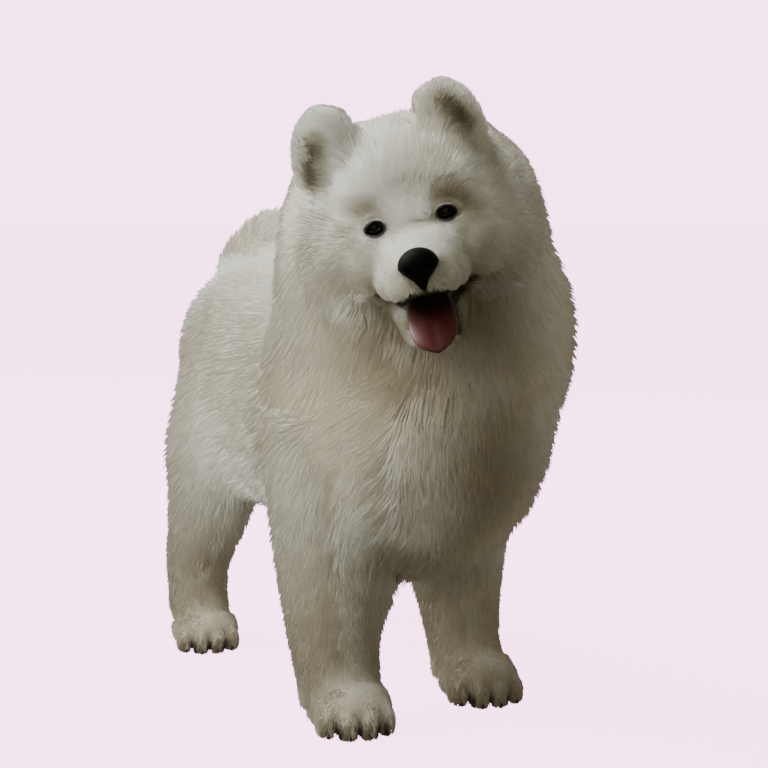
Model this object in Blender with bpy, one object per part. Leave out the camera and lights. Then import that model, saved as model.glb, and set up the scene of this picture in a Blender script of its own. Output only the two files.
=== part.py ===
"""A standing samoyed, life size, as a still model: solids for each part of the body.

Metres, +Z up. The dog faces -Y, its left side is +X, and its paws rest on z = 0.
The head has its own frame, whose origin is midway between the eyes.
"""

import math
import random

import bmesh
import bpy
import numpy as np
from mathutils import Matrix, Vector
from mathutils.bvhtree import BVHTree

SIDES = {"left": 1, "right": -1}
GAP = 0.0003
FINE_GAP = 0.00035
# About how many triangles each smooth form has before it is cut.
TRIANGLES = {"body": 1080, "head": 1520, "paw": 340}

# The head's frame: where the point between the eyes is, and how the head is turned.
EYE_LEVEL = Vector((-0.108, -0.350, 0.570))
HEAD_YAW = math.radians(-29)
HEAD_PITCH = math.radians(6)
HEAD_ROLL = math.radians(-13)

# Share of the coat's depth that is left off for the core under locks. The legs have no locks
# low down, so there the core takes up the whole depth of the coat, between these heights.
CORE_SHARE = 0.5
LEG_LOCKS_END = (0.17, 0.29)

# Trunk, from chest to rump: x, y, z, half width, half height, coat depth.
TRUNK = (
    (0.012, -0.278, 0.322, 0.070, 0.090, 0.045),
    (0.013, -0.245, 0.326, 0.124, 0.150, 0.060),
    (0.015, -0.185, 0.334, 0.160, 0.188, 0.065),
    (0.012, -0.100, 0.342, 0.168, 0.190, 0.065),
    (0.006, 0.000, 0.346, 0.155, 0.182, 0.060),
    (0.003, 0.100, 0.352, 0.142, 0.173, 0.055),
    (-0.002, 0.200, 0.363, 0.123, 0.160, 0.050),
    (-0.002, 0.280, 0.374, 0.106, 0.136, 0.050),
    (0.000, 0.335, 0.380, 0.090, 0.114, 0.045),
    (0.000, 0.368, 0.376, 0.062, 0.074, 0.040),
    (0.000, 0.384, 0.376, 0.028, 0.034, 0.030),
)
# Neck with its ruff, from the withers to the nape: x, y, z, half width, half depth, coat.
NECK = (
    (0.018, -0.070, 0.355, 0.168, 0.130, 0.060),
    (0.020, -0.130, 0.395, 0.188, 0.155, 0.075),
    (0.010, -0.165, 0.450, 0.182, 0.150, 0.080),
    (-0.009, -0.185, 0.500, 0.164, 0.130, 0.075),
    (-0.025, -0.207, 0.550, 0.154, 0.110, 0.060),
    (-0.040, -0.226, 0.595, 0.143, 0.094, 0.040),
    (-0.054, -0.238, 0.635, 0.122, 0.070, 0.020),
    (-0.062, -0.246, 0.668, 0.092, 0.042, 0.008),
)
# Foreleg from shoulder to wrist: x, y, z, half width, half depth, coat.
FORELEG = (
    (0.082, -0.130, 0.360, 0.084, 0.088, 0.040),
    (0.089, -0.125, 0.280, 0.082, 0.080, 0.035),
    (0.091, -0.115, 0.220, 0.073, 0.070, 0.030),
    (0.090, -0.112, 0.160, 0.063, 0.063, 0.024),
    (0.089, -0.115, 0.110, 0.058, 0.056, 0.018),
    (0.089, -0.122, 0.070, 0.052, 0.051, 0.012),
    (0.089, -0.130, 0.040, 0.048, 0.048, 0.008),
    (0.089, -0.134, 0.004, 0.044, 0.044, 0.006),
)
# Hind leg from hip to hock: x, y, z, half width, half depth, coat.
HIND_LEG = (
    (0.056, 0.215, 0.400, 0.048, 0.110, 0.045),
    (0.069, 0.215, 0.320, 0.059, 0.108, 0.045),
    (0.080, 0.218, 0.250, 0.065, 0.094, 0.040),
    (0.084, 0.230, 0.190, 0.055, 0.070, 0.030),
    (0.086, 0.254, 0.140, 0.048, 0.056, 0.022),
    (0.087, 0.268, 0.105, 0.044, 0.048, 0.016),
    (0.088, 0.264, 0.065, 0.041, 0.044, 0.010),
    (0.089, 0.258, 0.035, 0.042, 0.043, 0.008),
    (0.089, 0.256, 0.004, 0.038, 0.038, 0.006),
)
# Tail, from its root over the back to the far flank: x, y, z, half width, half depth, coat.
TAIL = (
    (0.000, 0.315, 0.430, 0.034, 0.034, 0.012),
    (0.006, 0.340, 0.460, 0.042, 0.040, 0.022),
    (0.017, 0.330, 0.500, 0.052, 0.046, 0.032),
    (0.042, 0.296, 0.528, 0.063, 0.054, 0.044),
    (0.078, 0.248, 0.518, 0.070, 0.058, 0.050),
    (0.108, 0.204, 0.482, 0.071, 0.056, 0.052),
    (0.130, 0.174, 0.430, 0.063, 0.050, 0.050),
    (0.138, 0.158, 0.380, 0.048, 0.040, 0.044),
    (0.140, 0.150, 0.345, 0.020, 0.018, 0.020),
)
TAIL_PARTING = Vector((0.062, 0.279, 0.520))
TAIL_ACROSS = Vector((0.7, 0.7, 0.0))

# Where the neck is parted from the trunk, over the withers and under the breast.
WITHERS = Vector((0.0, -0.030, 0.520))
CHEST = Vector((0.0, -0.300, 0.300))
# Where each leg is parted: the height at the middle of the body, and the rise to the outside.
FORELEG_TOP = {"height": 0.150, "slope": 0.70}
THIGH_TOP = {"height": 0.200, "slope": 1.10}
THIGH_FRONT = {"y": 0.105, "lean": 0.15}
HOCK_TOP = {"y": 0.250, "z": 0.155, "lean": 0.35}
PAW_TOP = 0.050

# How far each side's legs stand from the plan above: x, y.
FORE_SHIFT = {"left": (0.008, 0.010), "right": (0.002, -0.024)}
HIND_SHIFT = {"left": (0.012, 0.012), "right": (0.012, -0.014)}
# How wide each foreleg's coat stands, against the plan above.
FORE_GIRTH = {"left": 0.91, "right": 1.01}

# Paws: where the middle of the foot is, and how far its toes point to the dog's right.
FORE_PAW = {"length": 0.124, "width": 0.097, "height": 0.054, "x": 0.090, "y": -0.163, "turn": 18}
HIND_PAW = {"length": 0.114, "width": 0.088, "height": 0.049, "x": 0.090, "y": 0.231, "turn": 18}
CLAW_RADIUS = 0.0030

# Head, in its own frame. Ellipsoids: centre, radii.
SKULL = (
    ((0.000, 0.080, 0.022), (0.092, 0.088, 0.084)),
    ((0.000, 0.054, 0.020), (0.074, 0.056, 0.062)),
)
CHEEKS = (
    ((0.058, 0.064, -0.028), (0.058, 0.060, 0.060)),
    ((0.036, 0.034, -0.032), (0.042, 0.048, 0.042)),
    ((0.077, 0.094, 0.008), (0.044, 0.052, 0.067)),
)
BROW = ((0.028, 0.030, 0.016), (0.026, 0.022, 0.018))
# Upper muzzle, from the stop to the nose: y, z, half width, half height.
MUZZLE = (
    (0.030, -0.034, 0.054, 0.036),
    (0.000, -0.034, 0.050, 0.033),
    (-0.030, -0.038, 0.043, 0.029),
    (-0.055, -0.042, 0.036, 0.025),
    (-0.075, -0.044, 0.030, 0.021),
    (-0.086, -0.046, 0.021, 0.015),
)
LIPS = (
    ((0.020, -0.056, -0.060), (0.018, 0.031, 0.020)),
    ((0.034, -0.028, -0.058), (0.019, 0.032, 0.020)),
)
# Lower jaw, from the throat to the chin: y, z, half width, half height.
JAW = (
    (0.050, -0.070, 0.048, 0.030),
    (0.020, -0.088, 0.047, 0.022),
    (-0.010, -0.104, 0.042, 0.018),
    (-0.036, -0.118, 0.034, 0.015),
    (-0.052, -0.127, 0.024, 0.011),
)
# The open mouth, from its corners to past the lips: y, then the heights and the half widths
# of its floor, of the upper lips' edge and of the palate.
MOUTH = (
    (0.002, (-0.079, -0.074, -0.069), (0.040, 0.046, 0.034)),
    (-0.022, (-0.094, -0.080, -0.064), (0.036, 0.046, 0.016)),
    (-0.044, (-0.109, -0.080, -0.064), (0.028, 0.040, 0.014)),
    (-0.062, (-0.123, -0.080, -0.064), (0.019, 0.036, 0.013)),
    (-0.094, (-0.149, -0.082, -0.067), (0.016, 0.036, 0.012)),
)
MOUTH_CORNER = Vector((0.0, 0.004, -0.070))
THROAT = Vector((0.0, 0.062, -0.104))
NAPE = Vector((0.0, 0.134, 0.075))
JAW_HALF_WIDTH = 0.044
# How far below the palate the jaw is parted, for each metre ahead of the mouth's corner.
JAW_DROP = 0.30

EYE = {"x": 0.0370, "z": -0.001, "radius": 0.0115, "sunk": 0.0010}
EYE_OPENING = {"half_width": 0.0100, "half_height": 0.0066, "corner_drop": 0.0018}
LID = {"width": 0.0022, "height": 0.0012}
LIP = {"width": 0.0030, "height": 0.0014}
NOSE = {"z": -0.034, "radii": (0.0200, 0.0140, 0.0160), "stands_out": 0.0040}
NOSTRIL = {"x": 0.0100, "z": -0.0010, "radii": (0.0036, 0.0060, 0.0030)}
# Tongue, from the back of the mouth over the lower lip: y, z, half width, half height.
TONGUE = (
    (-0.004, -0.077, 0.020, 0.0050),
    (-0.024, -0.090, 0.024, 0.0052),
    (-0.044, -0.106, 0.025, 0.0050),
    (-0.058, -0.117, 0.023, 0.0044),
    (-0.067, -0.126, 0.017, 0.0036),
    (-0.071, -0.132, 0.007, 0.0022),
)
# Ear, from its root in the skull to its round tip: x, y, z, half width, half depth.
EAR = (
    (0.062, 0.080, 0.030, 0.026, 0.022),
    (0.068, 0.072, 0.056, 0.039, 0.024),
    (0.069, 0.066, 0.082, 0.040, 0.021),
    (0.064, 0.062, 0.104, 0.033, 0.017),
    (0.059, 0.059, 0.120, 0.021, 0.012),
    (0.056, 0.058, 0.127, 0.008, 0.005),
)
EAR_CUP = {"centre": (0.076, 0.044, 0.078), "radii": (0.018, 0.022, 0.034), "lean": 14}
EAR_TURN = 24
# How far along the head's x each ear is moved from the even place above.
EAR_SHIFT = {"left": -0.016, "right": 0.000}

# A lock of the long coat, from its root to its tip: share of its length, of its width, of its
# thickness, and of the way out from the core to the coat's surface.
LOCK_SHAPE = (
    (0.00, 0.30, 0.90, None),
    (0.38, 1.00, 1.00, 0.55),
    (0.74, 0.68, 0.70, 1.00),
    (1.00, 0.00, 0.00, 1.15),
)
LOCK_SUNK = 0.010
LOCK_VARIATION = 0.12
LOCK_SWERVE = 0.12
# Each kind of lock: width, length, thickness.
TRUNK_LOCK = (0.080, 0.128, 0.009)
RUFF_LOCK = (0.072, 0.120, 0.009)
CHEST_LOCK = (0.060, 0.120, 0.009)
THIGH_LOCK = (0.052, 0.100, 0.008)
FEATHER_LOCK = (0.040, 0.080, 0.008)
TAIL_LOCK = (0.052, 0.110, 0.008)
# The breast, hip and elbow, where locks are rooted from within: x, y, how far out they are
# looked for, and how far the coat's surface stands above the core.
BREAST = {"x": 0.012, "y": -0.120, "reach": 0.195, "rise": 0.037}
HIP = {"x": 0.070, "y": 0.215, "reach": 0.130, "rise": 0.012}
ELBOW = {"x": 0.089, "y": -0.115, "reach": 0.080, "rise": 0.010}
# Where rings of locks are rooted: along the trunk (y), down the breast, thigh and foreleg (z),
# and along the neck and the tail (shares of their lengths).
TRUNK_RINGS = (-0.155, -0.070, 0.015, 0.100, 0.180, 0.255, 0.325)
CHEST_RINGS = (0.410, 0.335, 0.262)
THIGH_RINGS = (0.300, 0.230)
FEATHER_RINGS = (0.235, 0.170)
# How far round the leg, from its outside to its back, each row's locks are, in degrees.
THIGH_ANGLES = (-35, 5, 45, 85)
FEATHER_ANGLES = (48, 80)
RUFF_RINGS = (0.22, 0.38, 0.55, 0.73, 0.90)
TAIL_RINGS = (0.20, 0.36, 0.52, 0.68, 0.84)
# How far round the tail's middle no lock of the body lies, against the tail's half width.
TAIL_COVER = 1.05
TRUNK_LOCKS_ROUND = 10
RUFF_LOCKS_ROUND = 12
# Locks of the belly are left off where the core faces down more than this.
BELLY_FACING = -0.80

# Colour, roughness and metallic value of each material. Anything not named here is coat.
LOOKS = {
    "eye": ((0.018, 0.011, 0.008), 0.08, 0.0),
    "nose": ((0.012, 0.010, 0.010), 0.35, 0.0),
    "tongue": ((0.420, 0.120, 0.130), 0.40, 0.0),
    "coat": ((0.800, 0.780, 0.710), 0.85, 0.0),
}


def clear_scene():
    for obj in list(bpy.data.objects):
        bpy.data.objects.remove(obj, do_unlink=True)


def material(name, colour, roughness, metallic=0.0):
    made = bpy.data.materials.get(name)
    if made is None:
        made = bpy.data.materials.new(name)
        made.use_nodes = True
        shader = made.node_tree.nodes["Principled BSDF"]
        shader.inputs["Base Color"].default_value = (*colour, 1.0)
        shader.inputs["Roughness"].default_value = roughness
        shader.inputs["Metallic"].default_value = metallic
    return made


def link(name, mesh):
    obj = bpy.data.objects.new(name, mesh)
    bpy.context.scene.collection.objects.link(obj)
    return obj


def object_from(name, points, faces):
    mesh = bpy.data.meshes.new(name)
    mesh.from_pydata([tuple(p) for p in points], [], faces)
    mesh.update()
    return link(name, mesh)


def remove(*objects):
    for obj in objects:
        bpy.data.objects.remove(obj, do_unlink=True)


def apply_modifiers(obj):
    """The object's mesh as its modifiers leave it, with the modifiers then removed."""
    graph = bpy.context.evaluated_depsgraph_get()
    mesh = bpy.data.meshes.new_from_object(obj.evaluated_get(graph))
    obj.modifiers.clear()
    obj.data = mesh
    return obj


def keep_largest(obj):
    """Keeps the closed surface that holds the most volume."""
    bm = bmesh.new()
    bm.from_mesh(obj.data)
    bm.faces.ensure_lookup_table()
    left = set(bm.faces)
    best, best_volume = set(), -1.0
    while left:
        start = left.pop()
        island, edge = {start}, [start]
        while edge:
            face = edge.pop()
            for side in face.edges:
                for other in side.link_faces:
                    if other in left and len(side.link_faces) == 2:
                        left.discard(other)
                        island.add(other)
                        edge.append(other)
        volume = 0.0
        for face in island:
            first = face.loops[0].vert.co
            corners = [loop.vert.co for loop in face.loops]
            for second, third in zip(corners[1:-1], corners[2:]):
                volume += first.dot(second.cross(third)) / 6
        if volume > best_volume:
            best, best_volume = island, volume
    loose = [face for face in bm.faces if face not in best]
    bmesh.ops.delete(bm, geom=loose, context="FACES")
    loose_points = [v for v in bm.verts if not v.link_faces]
    bmesh.ops.delete(bm, geom=loose_points, context="VERTS")
    bm.to_mesh(obj.data)
    bm.free()
    return obj


def boolean(obj, operation, others, solver="EXACT"):
    """Joins, cuts or intersects obj with a list of closed objects, which are then removed."""
    pieces = bpy.data.collections.new("pieces")
    for other in others:
        pieces.objects.link(other)
    modifier = obj.modifiers.new("boolean", "BOOLEAN")
    modifier.operation = operation
    modifier.solver = solver
    modifier.operand_type = "COLLECTION"
    modifier.collection = pieces
    apply_modifiers(obj)
    remove(*others)
    bpy.data.collections.remove(pieces)
    return obj


def facing_out(obj):
    """Turns every face of a closed mesh outward."""
    bm = bmesh.new()
    bm.from_mesh(obj.data)
    bmesh.ops.recalc_face_normals(bm, faces=bm.faces)
    bm.to_mesh(obj.data)
    bm.free()
    return obj


def between(rows, share):
    """The row at this share of the way along a list of rows."""
    at = share * (len(rows) - 1)
    i = min(int(at), len(rows) - 2)
    return rows[i] + (rows[i + 1] - rows[i]) * (at - i)


def smooth_between(stations, step):
    """The stations with more worked out between them, on a smooth curve, about a step apart."""
    rows = np.array(stations, float)
    before = np.vstack([2 * rows[0] - rows[1], rows[:-1]])
    after = np.vstack([rows[1:], 2 * rows[-1] - rows[-2]])
    slope = (after - before) / 2
    made = [rows[0]]
    for i in range(len(rows) - 1):
        a, b = rows[i], rows[i + 1]
        count = max(1, round(float(np.linalg.norm((b - a)[:3])) / step))
        for k in range(1, count + 1):
            t = k / count
            made.append(
                a * (1 + 2 * t) * (1 - t) ** 2
                + slope[i] * t * (1 - t) ** 2
                + b * t * t * (3 - 2 * t)
                + slope[i + 1] * t * t * (t - 1)
            )
    return np.array(made)


def tube(name, centres, halves, across, sides=20):
    """A closed tube of elliptic rings. across is the way, or each ring's way, of the half width."""
    centres = [Vector(c) for c in centres]
    ways = across if isinstance(across, list) else [across] * len(centres)
    points, faces = [], []
    for i, (centre, half, way) in enumerate(zip(centres, halves, ways)):
        ahead = centres[min(i + 1, len(centres) - 1)] - centres[max(i - 1, 0)]
        ahead.normalize()
        side = (Vector(way) - ahead * ahead.dot(Vector(way))).normalized()
        up = ahead.cross(side)
        for k in range(sides):
            angle = 2 * math.pi * k / sides
            points.append(centre + side * half[0] * math.cos(angle) + up * half[1] * math.sin(angle))
    rings = len(centres)
    for i in range(rings - 1):
        for k in range(sides):
            m = (k + 1) % sides
            faces.append((i * sides + k, i * sides + m, (i + 1) * sides + m, (i + 1) * sides + k))
    faces.append(tuple(reversed(range(sides))))
    faces.append(tuple((rings - 1) * sides + k for k in range(sides)))
    return object_from(name, points, faces)


def ellipsoid(name, centre, radii, segments=20, rings=12):
    bm = bmesh.new()
    bmesh.ops.create_uvsphere(bm, u_segments=segments, v_segments=rings, radius=1.0)
    bmesh.ops.scale(bm, vec=Vector(radii), verts=bm.verts)
    bmesh.ops.translate(bm, vec=Vector(centre), verts=bm.verts)
    mesh = bpy.data.meshes.new(name)
    bm.to_mesh(mesh)
    bm.free()
    return link(name, mesh)


def region(name, planes, inset):
    """The convex space on the normals' side of every plane (a point and a normal), less an inset."""
    bm = bmesh.new()
    bmesh.ops.create_cube(bm, size=3.0)
    for point, normal in planes:
        normal = Vector(normal).normalized()
        cut = bmesh.ops.bisect_plane(
            bm,
            geom=[*bm.verts, *bm.edges, *bm.faces],
            plane_co=Vector(point) + normal * inset,
            plane_no=-normal,
            clear_outer=True,
        )
        rim = [part for part in cut["geom_cut"] if isinstance(part, bmesh.types.BMEdge)]
        bmesh.ops.contextual_create(bm, geom=rim)
    bmesh.ops.recalc_face_normals(bm, faces=bm.faces)
    mesh = bpy.data.meshes.new(name)
    bm.to_mesh(mesh)
    bm.free()
    return link(name, mesh)


def part_off(whole, name, planes):
    """Parts what lies within the planes off the whole, by a thin cut, and returns it."""
    node = copied(whole, name)
    boolean(node, "INTERSECT", [region("inside", planes, GAP / 2)], "MANIFOLD")
    boolean(whole, "DIFFERENCE", [region("outside", planes, -GAP / 2)], "MANIFOLD")
    keep_largest(whole)
    return keep_largest(node)


def fused(name, objects, voxel, smoothing, triangles=None):
    """One smooth closed body made of overlapping ones."""
    bm = bmesh.new()
    for obj in objects:
        bm.from_mesh(obj.data)
    mesh = bpy.data.meshes.new(name)
    bm.to_mesh(mesh)
    bm.free()
    remove(*objects)
    made = link(name, mesh)
    remesh = made.modifiers.new("remesh", "REMESH")
    remesh.mode = "VOXEL"
    remesh.voxel_size = voxel
    if smoothing:
        smooth = made.modifiers.new("smooth", "SMOOTH")
        smooth.factor = 0.5
        smooth.iterations = smoothing
    apply_modifiers(made)
    return made if triangles is None else thinned(made, triangles)


def thinned(obj, triangles):
    """The same form with about this many triangles."""
    obj.data.calc_loop_triangles()
    have = len(obj.data.loop_triangles)
    if have > triangles:
        decimate = obj.modifiers.new("decimate", "DECIMATE")
        decimate.ratio = triangles / have
        decimate.use_collapse_triangulate = True
        apply_modifiers(obj)
    return obj


def grown(obj, by):
    """A copy of obj whose surface stands this far out."""
    copy = link(obj.name + "_grown", obj.data.copy())
    bm = bmesh.new()
    bm.from_mesh(copy.data)
    bm.normal_update()
    for v in bm.verts:
        v.co += v.normal * by * v.calc_shell_factor()
    bm.to_mesh(copy.data)
    bm.free()
    return copy


def copied(obj, name):
    return link(name, obj.data.copy())


def cut_with(obj, others):
    """Cuts grown copies of the others from obj, and leaves the others as they are."""
    boolean(obj, "DIFFERENCE", [grown(other, FINE_GAP) for other in others], "MANIFOLD")
    return keep_largest(obj)


def back_and_down(point, normal):
    """The lie of the body's coat: back along it, and down the breast, the sides and the rump."""
    front = min(1.0, max(0.0, -point.y / 0.20))
    facing = max(0.0, -normal.y)
    return Vector((0, 1 - 0.9 * facing, -0.40 - 0.7 * front - 1.1 * facing))


def down_leg(point, normal):
    return Vector((0, 0.25, -1))


def lock_rings(core, root, normal, sizes, height, lie, draw):
    """Each ring's middle, outward and side ways, and half sizes, as a lock bends over the core."""
    width, length, thickness, height = (
        size * draw.uniform(1 - LOCK_VARIATION, 1 + LOCK_VARIATION) for size in (*sizes, height)
    )
    swerve = draw.uniform(-LOCK_SWERVE, LOCK_SWERVE)
    place, out, course, done = root, normal, Vector(), 0.0
    rings = []
    for share, wide, thick, rise in LOCK_SHAPE:
        course = course + lie(place, out)
        course = (course - out * out.dot(course)).normalized()
        course = (course + out.cross(course) * swerve).normalized()
        if share > done:
            place, out = core.find_nearest(place + course * length * (share - done))[:2]
            course = (course - out * out.dot(course)).normalized()
            done = share
        middle = place + out * (-LOCK_SUNK if rise is None else height * rise)
        rings.append((middle, out, out.cross(course), width * wide / 2, thickness * thick / 2))
    return rings


def lock_of(rings):
    """A flat, tapered lock with a low ridge along it."""
    points, faces = [], []
    for middle, out, side, wide, thick in rings[:-1]:
        points += [middle + side * wide, middle + out * thick * 2, middle - side * wide]
    points.append(rings[-1][0])
    tip = len(points) - 1
    for i in range(0, tip - 3, 3):
        for k in range(3):
            m = (k + 1) % 3
            faces.append((i + k, i + m, i + 3 + m, i + 3 + k))
    faces += [(tip - 3 + k, tip - 3 + (k + 1) % 3, tip) for k in range(3)]
    faces.append((2, 1, 0))
    return facing_out(object_from("lock", points, faces))


def ring_of_locks(core, origin, side, up, angles, sizes, height, lie, draw, covers=()):
    """Locks rooted where lines from a point inside leave the core, except under what covers it."""
    locks = []
    for angle in angles:
        angle += draw.uniform(-3, 3)
        way = side * math.cos(math.radians(angle)) + up * math.sin(math.radians(angle))
        root, normal = core.ray_cast(origin, way)[:2]
        if root is None or (root - origin).length > way.length or normal.z < BELLY_FACING:
            continue
        rings = lock_rings(core, root, normal, sizes, height, lie, draw)
        if not any(inside(ball, middle) for middle, *_ in rings for ball in covers):
            locks.append(lock_of(rings))
    return locks


def all_round(count, row):
    """Even angles in degrees, staggered from one row to the next."""
    return [360 * (k + 0.5 * (row % 2)) / count for k in range(count)]


def inside(ball, point):
    """Whether the point is in this ellipsoid: the matrix to its own frame, and its radii."""
    to_ball, radii = ball
    place = to_ball @ point
    return sum((place[i] / radii[i]) ** 2 for i in range(3)) < 1


def body_covers():
    """What keeps locks of the body away: the head, and the tail that lies over the back."""
    covers = []
    to_head = head_matrix().inverted()
    for centre, radii in [SKULL[0], *CHEEKS, *((mirrored(c, -1), r) for c, r in CHEEKS)]:
        covers.append((Matrix.Translation(-Vector(centre)) @ to_head, radii))
    for x, y, z, wide, high, _ in smooth_between(TAIL, 0.022)[3:]:
        covers.append((Matrix.Translation((-x, -y, -z)), (wide * TAIL_COVER,) * 3))
    return covers


def trunk_locks(core, draw, covers):
    stations = np.array(TRUNK)
    locks = []
    for row, y in enumerate(TRUNK_RINGS):
        x, z, wide, high, coat = (np.interp(y, stations[:, 1], stations[:, k]) for k in (0, 2, 3, 4, 5))
        side, up = Vector((wide, 0, 0)), Vector((0, 0, high))
        locks += ring_of_locks(
            core, Vector((x, y, z)), side, up, all_round(TRUNK_LOCKS_ROUND, row),
            TRUNK_LOCK, CORE_SHARE * coat, back_and_down, draw, covers,
        )
    return locks


def ruff_locks(core, draw, covers):
    """Rings of locks round the neck, from behind the head down to the withers and the breast."""
    rows = smooth_between(NECK, 0.022)
    ahead = Vector((rows[-1] - rows[len(rows) // 2])[:3]).normalized()
    locks = []
    for row, share in enumerate(RUFF_RINGS):
        station, turn = between(rows, share), HEAD_YAW * share
        side = Vector((math.cos(turn), math.sin(turn), 0))
        side = (side - ahead * ahead.dot(side)).normalized() * station[3]
        up = ahead.cross(side).normalized() * station[4]
        locks += ring_of_locks(
            core, Vector(station[:3]), side, up, all_round(RUFF_LOCKS_ROUND, row),
            RUFF_LOCK, CORE_SHARE * station[5], back_and_down, draw, covers,
        )
    return locks


def chest_locks(core, draw):
    """Locks that hang in rows down the breast."""
    locks = []
    for row, z in enumerate(CHEST_RINGS):
        origin = Vector((BREAST["x"], BREAST["y"], z))
        side, ahead = Vector((BREAST["reach"], 0, 0)), Vector((0, -BREAST["reach"], 0))
        angles = [20 + 28 * (k + 0.5 * (row % 2)) for k in range(5)]
        locks += ring_of_locks(
            core, origin, side, ahead, angles, CHEST_LOCK, BREAST["rise"], back_and_down, draw
        )
    return locks


def leg_locks(core, joint, shift, sign, heights, angles, sizes, draw):
    """Rows of locks down the outside and the back of a leg, from inside its joint."""
    across, behind = Vector((sign * joint["reach"], 0, 0)), Vector((0, joint["reach"], 0))
    locks = []
    for row, z in enumerate(heights):
        origin = Vector((sign * (joint["x"] + shift[0]), joint["y"] + shift[1], z))
        turned = [angle + 20 * (row % 2) for angle in angles]
        locks += ring_of_locks(
            core, origin, across, behind, turned, sizes, joint["rise"], down_leg, draw
        )
    return locks


def with_locks(obj, locks):
    """Fuses the locks with obj as one closed body."""
    boolean(obj, "UNION", locks, "MANIFOLD")
    return keep_largest(obj)


def tree_of(obj):
    return BVHTree.FromObject(obj, bpy.context.evaluated_depsgraph_get())


def body_tube(name, stations, across, side="left", shift=(0, 0), girth=1.0):
    rows = smooth_between(stations, 0.022)
    sign = SIDES[side]
    centres = [(sign * (r[0] + shift[0]), r[1] + shift[1], r[2]) for r in rows]
    depth = [r[5] * np.interp(r[2], LEG_LOCKS_END, (0, CORE_SHARE)) for r in rows]
    halves = [(girth * r[3] - d, girth * r[4] - d) for r, d in zip(rows, depth)]
    return tube(name, centres, halves, across)


def head_matrix():
    turn = (
        Matrix.Rotation(HEAD_YAW, 4, "Z")
        @ Matrix.Rotation(HEAD_PITCH, 4, "X")
        @ Matrix.Rotation(HEAD_ROLL, 4, "Y")
    )
    return Matrix.Translation(EYE_LEVEL) @ turn


def mirrored(centre, sign):
    return (sign * centre[0], centre[1], centre[2])


def head_forms():
    forms = [ellipsoid("skull", *part) for part in SKULL]
    for sign in SIDES.values():
        for centre, radii in (*CHEEKS, BROW, *LIPS):
            forms.append(ellipsoid("cheek", mirrored(centre, sign), radii))
    rows = smooth_between([(0, y, z, w, h) for y, z, w, h in MUZZLE], 0.008)
    forms.append(tube("muzzle", [r[:3] for r in rows], [r[3:5] for r in rows], (1, 0, 0)))
    return forms


def jaw_form():
    rows = smooth_between([(0, y, z, w, h) for y, z, w, h in JAW], 0.008)
    return tube("lower_jaw", [r[:3] for r in rows], [r[3:5] for r in rows], (1, 0, 0))


def mouth_cutter():
    """The open mouth: a wedge between palate and lower jaw, narrower between the upper lips."""
    points, faces = [], []
    for y, heights, halves in MOUTH:
        points += [(half, y, z) for z, half in zip(heights, halves)]
        points += [(-half, y, z) for z, half in reversed(list(zip(heights, halves)))]
    for i in range(len(MOUTH) - 1):
        for k in range(6):
            m = (k + 1) % 6
            faces.append((i * 6 + k, i * 6 + m, i * 6 + 6 + m, i * 6 + 6 + k))
    faces.append(tuple(range(6)))
    faces.append(tuple(range(6 * len(MOUTH) - 6, 6 * len(MOUTH))))
    return facing_out(object_from("mouth", points, faces))


def nape_plane():
    """The plane that parts the head from the neck, facing the head."""
    rise = NAPE - THROAT
    return (THROAT, Vector((0, -rise.z, rise.y)))


def jaw_planes():
    """The space of the lower jaw, from the mouth's corner ahead and back to the throat."""
    hinge = THROAT - MOUTH_CORNER
    ahead = (MOUTH_CORNER, Vector((0, JAW_DROP, -1)))
    behind = (MOUTH_CORNER, Vector((0, hinge.z, -hinge.y)))
    sides = [((s * JAW_HALF_WIDTH, 0, 0), (-s, 0, 0)) for s in SIDES.values()]
    return [ahead, behind, *sides]


def raise_rim(obj, opening, width, height):
    """Raises a band of obj's surface round the opening that is about to be cut."""
    band = grown(obj, height)
    boolean(band, "INTERSECT", [grown(opening, width)])
    boolean(obj, "UNION", [band])


def surface_at(obj, x, z):
    """The foremost point of obj at this x and z."""
    tree = BVHTree.FromObject(obj, bpy.context.evaluated_depsgraph_get())
    return tree.ray_cast(Vector((x, -1.0, z)), Vector((0, 1, 0)))[0]


def eye_opening(centre, sign):
    """The almond between the lids, pointed at its outer corner."""
    half, high = EYE_OPENING["half_width"], EYE_OPENING["half_height"]
    made = ellipsoid("almond", (0, 0, 0), (half, EYE["radius"], high), 16, 8)
    for v in made.data.vertices:
        out = max(0.0, sign * v.co.x / half)
        v.co.z *= 1 - 0.55 * out * out
        v.co.x *= 1 + 0.12 * out
        v.co.z -= EYE_OPENING["corner_drop"] * out * out
    made.data.transform(Matrix.Translation((centre.x, centre.y - EYE["radius"], centre.z)))
    return made


def build_eyes(head):
    """Both eyeballs, set in sockets that open between raised lids."""
    eyes = []
    for side, sign in SIDES.items():
        front = surface_at(head, sign * EYE["x"], EYE["z"])
        centre = front + Vector((0, EYE["radius"] + EYE["sunk"], 0))
        opening = eye_opening(centre, sign)
        raise_rim(head, opening, LID["width"], LID["height"])
        boolean(head, "DIFFERENCE", [opening])
        eye = ellipsoid(f"eye_{side}", centre, [EYE["radius"]] * 3, 14, 7)
        boolean(head, "DIFFERENCE", [grown(eye, FINE_GAP)])
        eyes.append(eye)
    return eyes


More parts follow.
